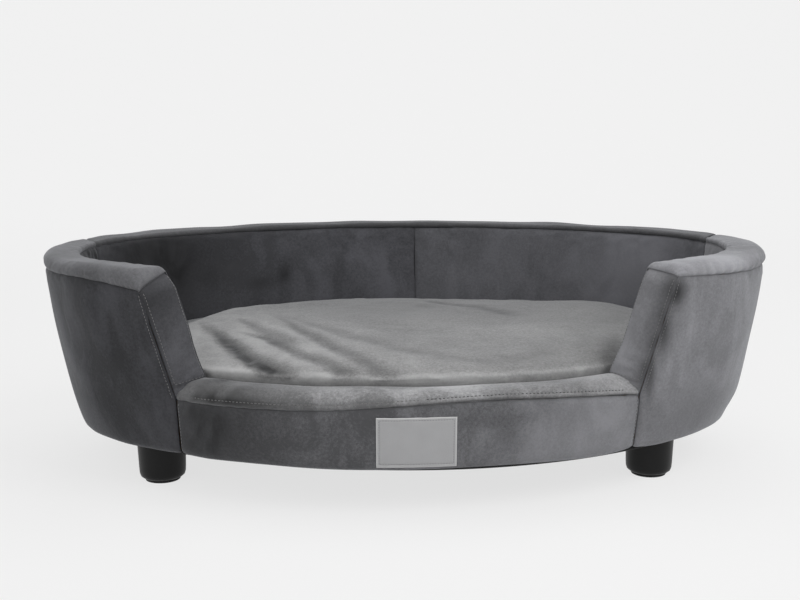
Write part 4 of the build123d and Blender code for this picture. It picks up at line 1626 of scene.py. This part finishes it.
@dataclass
class Cushion:
    """The loose cushion: a filled form blown up a little, then wrinkled and seamed."""

    velvet: Material
    voxel: float = 5.5 * MM
    pressure: float = 4.0
    frames: int = 20
    stretch: float = 12.0
    bend: float = 0.4
    smoothing: int = 50
    cap: float = 7 * MM
    side_inset: float = 0.0456
    bottom: float = 0.0763
    lower_seam: float = 0.0823
    upper_seam: float = 0.1403
    zip_height: float = 0.1206
    zip_angle: float = math.radians(21)
    zip_sink: float = 9.6 * MM
    left_fall: float = 9 * MM
    right_rise: float = 8 * MM
    front_rise: float = 3.5 * MM
    seam_sink: float = 1.6 * MM
    ridge_share: float = 0.55
    ridge_shift: tuple[float, float] = (20 * MM, 12 * MM)
    STROKES: ClassVar = (
        Stroke(((-263, -7), (-190, -160), (-105, -262)), 14, -0.98, 2.6),
        Stroke(((-219, 10), (-140, -120)), 13, -0.34, 1.2),
        Stroke(((-178, 38), (-132, -56), (-92, -130), (-5, -255)), 12, -0.44, 1.8),
        Stroke(((-213, -57), (-173, -91), (-126, -160), (-60, -228)), 10, -0.44, 1.6),
        Stroke(((17, 143), (53, 101), (105, 53), (143, 6)), 12, -0.42, 1.4),
        Stroke(((92, 156), (140, 129), (222, 109)), 12, -0.38, 1.2),
        Stroke(((26, -176), (83, -193), (131, -180), (167, -152)), 15, -0.26, 1.0),
        Stroke(((-186, 52), (-94, -62), (-8, -151), (49, -180)), 13, -0.26, 1.0),
        Stroke(((10, 72), (36, 74)), 13, -0.16, 0.6),
        Stroke(((-214, -204), (-202, -214)), 11, -0.55, 0.6),
        # Painted shadow below the right arm's end, over a shallow dip.
        Stroke(((264, -70), (249, -135), (238, -185)), 15, -0.50, 0.8),
    )

    def build(self) -> None:
        """Make the cushion."""
        made = self._core()
        start = mesh_points(made)
        self._inflate(made)
        step = mesh_points(made) - start
        size = np.linalg.norm(step, axis=1)[:, None] + 1e-9
        cap = self.cap * (1 - 0.9 * soft_step(-start[:, 1:2], -0.02, 0.13))
        start = start + step * np.minimum(1, cap / size)
        start = self._fit(self._wrinkle(start))
        made.data.vertices.foreach_set("co", start.ravel())
        made.data.update()
        smooth = made.modifiers.new("smooth", "SUBSURF")
        smooth.levels = smooth.render_levels = 1
        apply_modifiers(made)
        points = mesh_points(made)
        lay(made, "seam", self._seam_share(points))
        lay(made, "nap", self._nap_and_painted_light(points))
        made.data.polygons.foreach_set("use_smooth", [True] * len(made.data.polygons))
        nodes = ["cushion_core", "cushion_cover_top", "cushion_boxing", "cushion_cover_bottom"]
        dress(made, self.velvet, Body.CUSHION, nodes)

    def _core(self) -> Piece:
        """Remesh the frame's filled form into even faces."""
        bm = bmesh.new()
        bm.from_mesh(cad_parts["cushion_core"].data)
        bmesh.ops.remove_doubles(bm, verts=bm.verts, dist=0.01 * MM)
        made = finish_mesh("cushion_velvet_cover", bm)
        remesh = made.modifiers.new("even", "REMESH")
        remesh.mode = "VOXEL"
        remesh.voxel_size = self.voxel
        apply_modifiers(made)
        with edited(made) as bm:
            crown = [vert for vert in bm.verts if vert.co.z > self.upper_seam + 1.5 * MM]
            for _ in range(self.smoothing):
                bmesh.ops.smooth_vert(bm, verts=crown, factor=0.5, use_axis_z=True)
        return made

    def _inflate(self, obj: Piece) -> None:
        """Blow the form up as cloth, without gravity, and keep the result."""
        cloth = obj.modifiers.new("filled", "CLOTH")
        settings = cloth.settings
        settings.quality = 4
        settings.use_pressure = True
        settings.uniform_pressure_force = self.pressure
        settings.effector_weights.gravity = 0.0
        settings.tension_stiffness = settings.compression_stiffness = self.stretch
        settings.bending_stiffness = self.bend
        cloth.point_cache.frame_start, cloth.point_cache.frame_end = 1, self.frames
        scene = bpy.context.scene
        for number in range(1, self.frames + 1):
            scene.frame_set(number)
        apply_modifiers(obj)
        scene.frame_set(1)

    def _wrinkle(self, points: Array) -> Array:
        """Add the cloth's long slanted folds and small hollows, and sink the seams.

        Args:
            points: Points of the blown-up form.

        Returns:
            The same points, moved.
        """
        x, y, z = points.T
        top = self._on_top(z)
        folds = np.zeros_like(x)
        for stroke in self.STROKES:
            folds -= stroke.depth * MM * stroke.at(x, y)
            ridge = stroke.at(x + self.ridge_shift[0], y + self.ridge_shift[1])
            folds += self.ridge_share * stroke.depth * MM * ridge
        broad, fine = Ripples(91, 0.08, 0.22), Ripples(92, 0.02, 0.05)
        lift = top * (folds + 1.1 * MM * broad(points) + 0.4 * MM * fine(points))
        edge = bell(self._depth_in(points), 18 * MM) * soft_step(z, 0.128, 0.140)
        lift += self.front_rise * edge * self._in_front(y)
        fall = soft_step(self._past_fold(x, y), -0.016, 0.030) * soft_step(y, -0.04, 0.04)
        lift -= top * self.left_fall * fall
        lift += top * self.right_rise * soft_step(x, 0.10, 0.28) * soft_step(y, -0.04, 0.09)
        moved = points.copy()
        moved[:, 2] += lift
        away = moved - np.array([0, OVAL.back_shift, 0.115])
        away[:, 2] *= 0.2
        away /= np.linalg.norm(away, axis=1)[:, None]
        sink, near = self._by_seams(z, 3.0 * MM), self._by_seams(z, 12 * MM)
        gathers = Ripples(95, 0.012, 0.03)(points) * 0.5 * MM
        edge = self._edge_share(points)
        moved += away * (near * gathers * edge - sink * edge * self.seam_sink)[:, None]
        return moved

    def _nap_and_painted_light(self, points: Array) -> Array:
        """Tone of the cover: dark laid pile along each fold, a painted shadow below the right arm's
        end, painted shade by the back, by the right arm and where the top falls away to the left
        arm, and painted light in front.

        Args:
            points: Points of the finished cushion.

        Returns:
            A number for each, below 0 for darker and above for paler.
        """
        x, y, z = points.T
        waver = Ripples(96, 0.008, 0.03)(points)
        drawn = x + 0.002 * waver
        strokes = sum(s.tone * s.at(drawn, y) * (1 + 0.15 * waver) for s in self.STROKES)
        calm = np.clip(1 + 2 * strokes, 0, 1)
        # Painted light on the front left of the top, a little less on the front right.
        pale = 0.34 * soft_step(-x - 0.6 * y, 0.04, 0.20) - 0.06
        pale -= 0.05 * soft_step(y, -0.05, -0.19) * soft_step(x, 0.0, 0.2)
        # Painted shade by the right arm, at the back and along the back wall, and in the fall to
        # the left arm.
        painted_shade = -0.12 * soft_step(x, 0.22, 0.30)
        painted_shade -= 0.10 * bell(x - 0.03, 0.10) * soft_step(y, 0.0, 0.06)
        painted_shade -= 0.19 * soft_step(y, -0.08, 0.02)
        past = self._past_fold(x, y) + 0.002 * waver
        fall_shade = soft_step(past, -0.005, 0.008) * soft_step(past, 0.085, 0.035)
        painted_shade -= 0.74 * fall_shade * soft_step(y, -0.04, 0.02)
        # Painted light along the front edge by the sill, where the crevice is in shade.
        front = soft_step(z, 0.120, 0.134) * soft_step(self._depth_in(points), 0.016, 0.004)
        return self._on_top(z) * (strokes + pale * calm + painted_shade) + 0.45 * front * self._in_front(y)

    def _past_fold(self, x: Array, y: Array) -> Array:
        """How far places lie beyond the fold where the top falls away to the left arm."""
        return 0.333 * y - 0.943 * (x + 0.278)

    def _by_long_arc(self, x: Array, y: Array) -> Array:
        """Whether places, from the oval's middle, lie beside one of its long arcs."""
        return np.arctan2(np.abs(x), np.abs(y) + OVAL.side_centre) < OVAL.side_half_angle

    def _inset(self, points: Array) -> Array:
        """Distance of points inside the widest outline."""
        x, y = points[:, 0], points[:, 1] - OVAL.back_shift
        end = OVAL.end_radius - np.hypot(np.abs(x) - OVAL.end_centre, y)
        side = OVAL.side_radius - np.hypot(x, np.abs(y) + OVAL.side_centre)
        return np.where(self._by_long_arc(x, y), side, end)

    def _depth_in(self, points: Array) -> Array:
        """Distance of points from the cushion's side, inwards."""
        return np.maximum(self._inset(points) - OVAL.lean(points[:, 2]) - self.side_inset, 0)

    def _on_top(self, z: Array) -> Array:
        """1 on the cushion's top and 0 below its upper seam."""
        return soft_step(z, self.upper_seam - 4 * MM, self.upper_seam + 10 * MM)

    def _in_front(self, y: Array) -> Array:
        """1 by the bed's opening and 0 further back."""
        return soft_step(y, -0.08, -0.16)

    def _by_seams(self, z: Array, width: float, power: float = 2.0) -> Array:
        """1 at the height of either seam, fading over a width."""
        return sum(bell(z - height, width, power) for height in (self.lower_seam, self.upper_seam))

    def _edge_share(self, points: Array) -> Array:
        """1 at the cushion's side, falling to 0 on its faces."""
        return bell(self._depth_in(points), 16 * MM)

    def _seam_share(self, points: Array) -> Array:
        """How near a seam each point lies."""
        share = self._by_seams(points[:, 2], SEAM_REACH, 1.0) * self._edge_share(points)
        # The velvet paints shade in the seams' grooves by this share, with less of it by the
        # opening.
        return np.clip(share * (1 - 0.75 * self._in_front(points[:, 1])), 0, 1)

    def _fit(self, points: Array) -> Array:
        """Keep the cushion in its space, and the zip in sight.

        Args:
            points: Points that may have left the space.

        Returns:
            The same points, brought back inside.
        """
        inset = self._inset(points)
        least = OVAL.lean(points[:, 2]) + self.side_inset
        x, y = points[:, 0], points[:, 1] - OVAL.back_shift
        angle = np.arctan2(np.abs(x), y + OVAL.side_centre)
        zipped = soft_step(angle, self.zip_angle + 0.02, self.zip_angle) * (y > 0)
        zipped *= soft_step(np.abs(points[:, 2] - self.zip_height), 11 * MM, 8.5 * MM)
        short = np.maximum(least + zipped * self.zip_sink - inset, 0)
        side_way = np.stack([x, y + np.sign(y) * OVAL.side_centre], axis=1)
        end_way = np.stack([x - np.sign(x) * OVAL.end_centre, y], axis=1)
        way = np.where(self._by_long_arc(x, y)[:, None], side_way, end_way)
        way /= np.linalg.norm(way, axis=1)[:, None] + 1e-9
        moved = points.copy()
        moved[:, :2] -= way * short[:, None]
        moved[:, 2] = np.maximum(moved[:, 2], self.bottom)
        return moved


@dataclass
class Zip:
    """Coil of the zip in the cushion's back, a tooth at a time."""

    material: Material
    pitch: float = 2.2 * MM
    tooth: tuple[float, float] = (1.7 * MM, 3.6 * MM)
    offset: float = 0.55 * MM

    def build(self) -> None:
        """Make the teeth over the tape that the frame has."""
        low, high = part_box("zip_teeth")
        height = (low.z + high.z) / 2
        centre = Vector((0, -OVAL.side_centre + OVAL.back_shift, height))
        radius = high.y - centre.y - 1.0 * MM
        bm = bmesh.new()
        span = math.asin(min(high.x / radius, 1.0))
        count = int(2 * span * radius / self.pitch)
        lean = Matrix.Rotation(-OVAL.flare, 4, "X")
        for i in range(count):
            angle = -span + (i + 0.5) * 2 * span / count
            turn = Matrix.Rotation(-angle, 4, "Z")
            shift = (1 if i % 2 else -1) * self.offset
            size = Matrix.Diagonal((self.pitch * 0.62, *self.tooth, 1.0))
            place = Matrix.Translation(centre) @ turn @ Matrix.Translation((0, radius, 0)) @ lean
            place = place @ Matrix.Translation((0, 0, shift)) @ size
            bmesh.ops.create_cube(bm, size=1.0, matrix=place)
        made = finish_mesh("zip_coil_teeth", bm, smooth=False)
        dress(made, self.material, Body.CUSHION, ["zip_teeth"])


@dataclass
class Underside:
    """Legs, black lining with its rolled edge, and the deck under the cushion."""

    plastic: Material
    lining: Material
    deck: Material
    leg_steps: int = 72
    edge_steps: int = 360
    edge_inset: float = 7.5 * MM
    edge_radius: float = 0.7 * MM
    front_radius: float = 1.75 * MM

    def build(self) -> None:
        """Make the legs, the lining's edge and the deck."""
        for end in ("front", "rear"):
            for side in Side:
                self._leg(f"leg_{end}_{side.word}")
        self._rolled_edge()
        self._deck()

    def _leg(self, node: str) -> None:
        """Spin one leg in its node's place.

        Args:
            node: Name of the node.
        """
        low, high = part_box(node)
        centre = (low + high) / 2
        foot, top, widest = low.z, high.z - 3 * MM, (high.x - low.x) / 2
        outline = [
            (0.0, foot), (widest - 9.5 * MM, foot), (widest - 5.2 * MM, foot + 0.9 * MM),
            (widest - 2.8 * MM, foot + 2.9 * MM), (widest - 1.7 * MM, foot + 6.2 * MM),
            (widest - 1.3 * MM, foot + 12 * MM), (widest - 0.25 * MM, top - 3 * MM),
            (widest, top - 1.2 * MM), (widest - 0.8 * MM, top - 0.1 * MM), (0.0, top),
        ]
        bm = bmesh.new()
        verts = [bm.verts.new((x, 0, z)) for x, z in outline]
        edges = [bm.edges.new(pair) for pair in zip(verts, verts[1:])]
        bmesh.ops.spin(
            bm, geom=verts + edges, cent=(0, 0, 0), axis=(0, 0, 1), angle=2 * math.pi,
            steps=self.leg_steps, use_merge=True,
        )
        bmesh.ops.remove_doubles(bm, verts=bm.verts, dist=0.02 * MM)
        bmesh.ops.recalc_face_normals(bm, faces=bm.faces)
        bmesh.ops.translate(bm, verts=bm.verts, vec=(centre.x, centre.y, 0))
        made = finish_mesh(f"{node}_moulding", bm)
        dress(made, self.plastic, Body.SOFA, [node])

    def _rolled_edge(self) -> None:
        """Roll the lining's edge under the hem, fuller at the front."""
        hem = SEAMS.hem

        def shape(u: Array, v: Array) -> tuple[Array, Array]:
            """Shape a tube round the outline, whose radius varies."""
            angle = angle_at(length_at(-math.pi) + u * (length_at(math.pi) - length_at(-math.pi)))
            inset = np.full_like(angle, OVAL.lean(hem) + self.edge_inset)
            x0, y0 = OVAL.spot(angle, inset - SEAMS.swell(angle, inset, np.full_like(angle, hem)))
            front = soft_step(-y0, 0.10, 0.235) * (0.55 + 0.45 * soft_step(x0, -0.12, 0.12))
            radius = self.edge_radius + self.front_radius * front
            turn = v * 2 * math.pi
            out, up = radius * np.cos(turn), radius * np.sin(turn)
            x, y = x0 + np.cos(angle) * out, y0 + np.sin(angle) * out
            return np.stack([x, y, hem - radius + up], axis=1), np.zeros_like(u)

        made = grid_object("dust_cover_rolled_edge", self.edge_steps, 12, shape)
        with edited(made) as bm:
            bmesh.ops.remove_doubles(bm, verts=bm.verts, dist=0.05 * MM)
            bmesh.ops.recalc_face_normals(bm, faces=bm.faces)
        dress(made, self.lining, Body.SOFA)

    def _deck(self) -> None:
        """Make the deck's lining cloth over its thin pad."""
        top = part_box("deck_cloth")[1].z - 0.2 * MM

        def shape(u: Array, v: Array) -> tuple[Array, Array]:
            """Shape a square grid into the oval, drawn tight at its edge."""
            a, b = 2 * u - 1, 2 * v - 1
            x, y = a * np.sqrt(1 - b * b / 2), b * np.sqrt(1 - a * a / 2)
            reach = np.hypot(x, y)
            angle = np.arctan2(y, x)
            table = np.linspace(-math.pi, math.pi, 721)
            inset = OVAL.lean(top) + SEAMS.thickness + 0.6 * MM
            edge_x, edge_y = OVAL.spot(table, np.full_like(table, inset))
            edge_y = edge_y - OVAL.back_shift
            polar, size = np.arctan2(edge_y, edge_x), np.hypot(edge_x, edge_y)
            order = np.argsort(polar)
            bound = np.interp(angle, polar[order], size[order], period=2 * math.pi)
            east, north = reach * bound * np.cos(angle), reach * bound * np.sin(angle)
            points = np.stack([east, north + OVAL.back_shift, np.full_like(u, top)], axis=1)
            waves = 0.5 * MM * Ripples(61, 0.03, 0.09)(points)
            sag = 1.6 * MM * soft_step(reach, 1.0, 0.93) + waves
            points[:, 2] += np.minimum(sag - 1.8 * MM, 0)
            return points, soft_step(reach, 0.985, 1.0)

        made = grid_object("deck_lining", 110, 80, shape)
        thicken(made, 1.2 * MM)
        dress(made, self.deck, Body.SOFA, ["deck_cloth", "deck_pad"])


@dataclass
class Hardware:
    """Nodes of the frame that keep their own shape and get a finish."""

    finishes: dict[str, Material]
    GROUPS: ClassVar[dict[str, tuple[str, ...]]] = {
        "plywood": (
            "base_board", "wall_bottom_rail", "wall_top_rail", "wall_posts", "arm_end_posts",
            "sill_rail", "sill_posts",
        ),
        "board": ("outer_wall_board", "inner_wall_board", "front_board", "sill_inner_board"),
        "steel": ("t_nuts", "leg_bolts", "frame_screws", "dust_cover_staples"),
        "lining": ("dust_cover",),
        "felt": ("leg_glides",),
        "tape": ("zip_tape",),
        "nylon": ("zip_stops",),
        "enamel": ("zip_slider", "zip_pull"),
    }

    def build(self) -> None:
        """Put a finish on each node."""
        for key, nodes in self.GROUPS.items():
            for node in nodes:
                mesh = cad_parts[node].data
                mesh.materials.clear()
                mesh.materials.append(self.finishes[key])


@dataclass
class Studio:
    """Camera, pale floor and soft lights."""

    azimuth: float = -0.0233
    elevation: float = 0.2052
    roll: float = -0.0044
    distance: float = 1.5
    focal_px: float = 1151.6
    centre_px: tuple[float, float] = (404.1, 335.8)
    picture: tuple[int, int] = (800, 600)
    target: Vector = field(default_factory=lambda: Vector((0, OVAL.back_shift, 0.150)))
    floor_level: float = 0.80
    seen_level: float = 0.165
    seen_glow: float = 0.718
    far_glow: float = 0.782
    room_light: float = 0.55
    backdrop_level: float = 0.87
    SEEN_BY: ClassVar = ("Camera", "Glossy", "Transmission")

    def build(self) -> None:
        """Make the studio."""
        self._camera()
        self._floor()
        self._light("key", (1.5, -1.1, 1.9), 1.5, 26.0)
        self._light("fill", (-1.3, -1.9, 1.3), 1.8, 9.0)
        self._light("top", (0.1, 0.5, 2.2), 1.6, 14.0)
        self._world()
        bpy.context.scene.view_settings.view_transform = "Standard"

    def _camera(self) -> None:
        """Place the camera at the photograph's angle."""
        a, e = self.azimuth, self.elevation
        back = Vector((math.sin(a) * math.cos(e), -math.cos(a) * math.cos(e), math.sin(e)))
        data = bpy.data.cameras.new("camera")
        data.sensor_width = 36.0
        data.lens = self.focal_px / self.picture[0] * data.sensor_width
        data.shift_x = (self.picture[0] / 2 - self.centre_px[0]) / self.picture[0]
        data.shift_y = (self.centre_px[1] - self.picture[1] / 2) / self.picture[0]
        data.clip_start, data.clip_end = 0.05, 50.0
        camera = in_scene("camera", data)
        turn = (-back).to_track_quat("-Z", "Y").to_matrix() @ Matrix.Rotation(self.roll, 3, "Z")
        camera.matrix_world = Matrix.Translation(self.target + back * self.distance) @ turn.to_4x4()
        bpy.context.scene.camera = camera

    def _floor(self) -> None:
        """Make the floor and the backdrop that it curves up into."""
        near, far, bend, rise, width = 20.0, 3.0, 2.2, 4.0, 40.0
        arc = bend * math.pi / 2

        def shape(u: Array, v: Array) -> tuple[Array, Array]:
            """Shape the floor, the curve and the wall as one sheet."""
            run = v * (near + far + arc + rise)
            flat = np.minimum(run, near + far)
            turn = np.clip(run - near - far, 0, arc) / bend
            up = np.maximum(run - near - far - arc, 0)
            y = flat - near + bend * np.sin(turn)
            return np.stack([(u - 0.5) * width, y, bend * (1 - np.cos(turn)) + up], axis=1), u * 0

        made = grid_object("studio_floor", 4, 320, shape)
        s = Shader("studio_paper")
        paper = s.noise(3.0, 2.0)
        camera, glossy, through = (
            s.node("ShaderNodeLightPath", {}, {}, f"Is {ray} Ray") for ray in self.SEEN_BY
        )
        seen = camera + glossy + through
        lit = s.blend(paper, grey(self.floor_level * 0.99), grey(self.floor_level * 1.01))
        depth = s.node("ShaderNodeSeparateXYZ", {}, {0: s.place}, 1).step(0.3, 3.2)
        glow = s.blend(depth, grey(self.seen_glow), grey(self.far_glow))
        finish = s.surface(
            Base_Color=s.blend(seen, lit, grey(self.seen_level)),
            Roughness=0.9,
            Specular_IOR_Level=0.0,
            Emission_Color=s.blend(seen, grey(0.0), glow),
            Emission_Strength=1.0,
        )
        made.data.materials.append(finish)

    def _light(self, name: str, place: Sequence[float], size: float, power: float) -> None:
        """Hang a square lamp that looks at the bed.

        Args:
            name: Name of the lamp.
            place: Where it hangs.
            size: Length of its side.
            power: Its power in watts.
        """
        data = bpy.data.lights.new(name, "AREA")
        data.size, data.energy = size, power
        lamp = in_scene(name, data)
        lamp.location = place
        aim = Vector((0, 0, 0.12)) - Vector(place)
        lamp.rotation_mode = "QUATERNION"
        lamp.rotation_quaternion = aim.to_track_quat("-Z", "Y")

    def _world(self) -> None:
        """Light the room evenly, and show it pale."""
        world = bpy.data.worlds.new("studio")
        bpy.context.scene.world = world
        world.use_nodes = True
        tree = world.node_tree
        tree.nodes.clear()
        output = tree.nodes.new("ShaderNodeOutputWorld")
        path, mix = tree.nodes.new("ShaderNodeLightPath"), tree.nodes.new("ShaderNodeMixShader")
        for slot, level, strength in ((1, 1.0, self.room_light), (2, self.backdrop_level, 1.0)):
            background = tree.nodes.new("ShaderNodeBackground")
            background.inputs["Color"].default_value = grey(level)
            background.inputs["Strength"].default_value = strength
            tree.links.new(background.outputs[0], mix.inputs[slot])
        shown, *others = (path.outputs[f"Is {ray} Ray"] for ray in self.SEEN_BY)
        for other in others:
            both = tree.nodes.new("ShaderNodeMath")
            tree.links.new(shown, both.inputs[0])
            tree.links.new(other, both.inputs[1])
            shown = both.outputs[0]
        tree.links.new(shown, mix.inputs["Fac"])
        tree.links.new(mix.outputs[0], output.inputs["Surface"])


# Blots of painted light, shade and sheen on the covers, with some brushed pile; blots at the back
# even out the sides' painted tones.
PAINTED_LIGHT_AND_NAP_PATCHES: dict[str, tuple[Patch, ...]] = {
    "outer_cover_left_velvet": (
        Patch((-430, -60, 185), (30, 60, 60), 0.05),
        Patch((-395, -110, 85), (40, 50, 22), 0.15),
        Patch((-385, -150, 240), (30, 50, 12), 0.10),
        Patch((-340, -190, 150), (30, 40, 50), -0.20),
        Patch((-410, -100, 110), (30, 50, 16), -0.20),
        Patch((-390, 150, 150), (120, 90, 180), 0.40),
    ),
    # Painted shade in the groove beside the arm's end face, and at the back.
    "outer_cover_right_velvet": (
        Patch((299, -210, 240), (13, 40, 18), -1.15),
        Patch((287, -210, 198), (8, 40, 30), -0.95),
        Patch((274, -210, 150), (6, 40, 30), -0.90),
        Patch((400, -130, 75), (70, 60, 25), -0.12),
        Patch((390, 150, 150), (120, 90, 180), -0.60),
        Patch((345, -175, 85), (80, 70, 40), -0.38),
    ),
    # Painted shade on the left of the front and painted light on its right, with darker blots right
    # of the label.
    "outer_cover_front_velvet": (
        Patch((-235, -230, 85), (90, 100, 90), -0.84),
        Patch((108, -250, 88), (20, 40, 22), -0.45),
        Patch((80, -250, 110), (60, 40, 10), -0.40),
        Patch((200, -230, 85), (90, 100, 90), 0.42),
    ),
    # Painted shade on the left of the sill and along its lower seam.
    "sill_cover_velvet": (
        Patch((105, -260, 134), (18, 50, 12), -0.32),
        Patch((200, -235, 136), (70, 60, 30), -0.32),
        Patch((-210, -215, 136), (90, 80, 30), -0.86),
        Patch((-120, -250, 124), (160, 50, 6), -0.35),
        Patch((30, -262, 128), (80, 50, 6), -0.35),
    ),
    "rim_band_left_velvet": (
        Patch((-420, -100, 260), (14, 30, 8), -0.25),
        Patch((-432, -50, 268), (30, 60, 20), -0.14),
        Patch((-390, -150, 266), (30, 30, 10), 0.10),
    ),
    # Painted highlight on the front of the right rim.
    "rim_band_right_velvet": (
        Patch((355, -170, 262), (72, 60, 18), 0.62),
        Patch((420, -130, 255), (30, 40, 6), -0.25),
    ),
    "rim_band_back_velvet": (
        Patch((-330, 200, 270), (80, 80, 20), 0.18),
        Patch((-370, 160, 270), (30, 30, 20), 0.45),
        Patch((-100, 260, 266), (160, 90, 30), -0.42),
    ),
    "arm_gusset_left_velvet": (
        Patch((-262, -190, 165), (30, 40, 26), 0.16),
        Patch((-262, -200, 124), (20, 40, 8), 0.25),
        Patch((-290, -210, 235), (40, 60, 30), -0.62),
    ),
    # Painted shade along the outer seam's groove, from top to foot.
    "arm_gusset_right_velvet": (
        Patch((258, -195, 200), (18, 40, 60), 0.18),
        Patch((297, -215, 240), (11, 40, 22), -0.95),
        Patch((289, -215, 208), (11, 40, 22), -0.95),
        Patch((281, -215, 176), (11, 40, 22), -1.00),
        Patch((272, -215, 144), (10, 40, 20), -1.10),
        Patch((243, -195, 150), (18, 40, 30), 0.25),
    ),
    # Painted shade and sheen: the left inner walls darker, the right ones paler.
    "inner_cover_left_velvet": (
        Patch((-380, -20, 220), (120, 170, 120), -0.94),
    ),
    "inner_cover_back_left_velvet": (
        Patch((-350, 130, 215), (90, 110, 130), -1.05),
        Patch((-220, 200, 200), (80, 100, 100), -0.16),
        Patch((-170, 220, 201), (10, 60, 14), -0.80),
        Patch((-203, 210, 190), (22, 60, 8), -0.45),
    ),
    "inner_cover_back_right_velvet": (
        Patch((240, 190, 200), (60, 100, 100), 0.12),
        Patch((335, 130, 220), (60, 100, 100), 0.62),
    ),
    "inner_cover_right_velvet": (
        Patch((380, 50, 225), (70, 120, 100), 0.80),
    ),
}


def velvets() -> dict[str, Material]:
    """Make lit and shaded copies of one velvet for the panels, and the cushion's: each panel's tone
    is painted light and shade for how light falls on it, partly the way its pile lies.

    Returns:
        A material for each panel.
    """
    lit_and_shaded_tones = {
        # Painted shade on the left cover and painted light on the right one; the other panels lie
        # between.
        "outer_left": Velvet(
            "velvet_outer_left", 0.019, 0.052, warmth=-0.06, cloud=0.9, mottle=0.8
        ),
        "outer_right": Velvet("velvet_outer_right", 0.142, 0.248),
        "outer_back": Velvet("velvet_outer_back", 0.060, 0.120),
        "outer_front": Velvet("velvet_outer_front", 0.070, 0.175, across=1.0),
        "rim_left": Velvet("velvet_rim_left", 0.075, 0.155),
        "rim_right": Velvet("velvet_rim_right", 0.115, 0.245),
        "rim_back": Velvet("velvet_rim_back", 0.045, 0.095, across=0.3),
        "gusset_left": Velvet("velvet_gusset_left", 0.034, 0.086, warmth=-0.05),
        "gusset_right": Velvet("velvet_gusset_right", 0.130, 0.220),
        "inner_cover_left": Velvet("velvet_inner_left", 0.028, 0.055, warmth=-0.06),
        "inner_cover_right": Velvet("velvet_inner_right", 0.085, 0.140),
        "inner_cover_back_left": Velvet(
            "velvet_inner_back_left", 0.040, 0.086, across=0.6, warmth=-0.06, cloud=0.7, mottle=0.7
        ),
        "inner_cover_back_right": Velvet(
            "velvet_inner_back_right", 0.058, 0.108, across=0.3, warmth=-0.05
        ),
        "sill": Velvet("velvet_sill", 0.150, 0.400, across=0.3, warmth=-0.01),
        "cushion": Velvet(
            "velvet_cushion", 0.116, 0.316, warmth=0.0, patch_scale=5.0, cloud=0.22, mottle=0.2
        ),
    }
    return {key: tone.make() for key, tone in lit_and_shaded_tones.items()}


def main() -> None:
    """Build the bed piece by piece and light it."""
    logging.basicConfig(level=logging.INFO, format="%(name)s: %(message)s")
    velvet = velvets()
    # One thread on the bed, drawn pale and dark: painted light and shade of the stitches on either
    # side.
    threads = {
        Side.LEFT: Thread("pale_thread", 0.13).make(),
        Side.RIGHT: Thread("dark_thread", 0.020).make(),
    }
    wall = Wall(velvet, threads)
    wall.build()
    Sill(velvet["sill"], threads).build()
    Label(Leatherette().make(), Thread("label_thread", 0.16).make(), wall.panels["front"]).build()
    Cushion(velvet["cushion"]).build()
    nylon = Moulded("zip_nylon_coil", 0.14).make()
    Zip(nylon).build()
    lining = Woven("black_lining", 0.012).make()
    Underside(Moulded().make(), lining, Woven("deck_lining_cloth", 0.016, 1.4 * MM).make()).build()
    wood = (0.50, 0.34, 0.19, 1.0), (0.33, 0.20, 0.10, 1.0)
    board = (0.21, 0.12, 0.06, 1.0), (0.12, 0.065, 0.03, 1.0)
    Hardware(
        {
            "plywood": Plywood("raw_plywood", *wood).make(),
            "board": Plywood("bent_board", *board, grain=140.0).make(),
            "steel": Metal("zinc_plate", 0.55, 1.0, 0.34).make(),
            "lining": lining,
            "felt": Woven("dark_felt", 0.030, 0.9 * MM, rough=1.0).make(),
            "tape": Woven("zip_tape_cloth", 0.15, 0.8 * MM).make(),
            "nylon": nylon,
            "enamel": Metal("grey_enamel", 0.11, 0.2, 0.35).make(),
        }
    ).build()
    Studio().build()


if __name__ == "__main__":
    main()
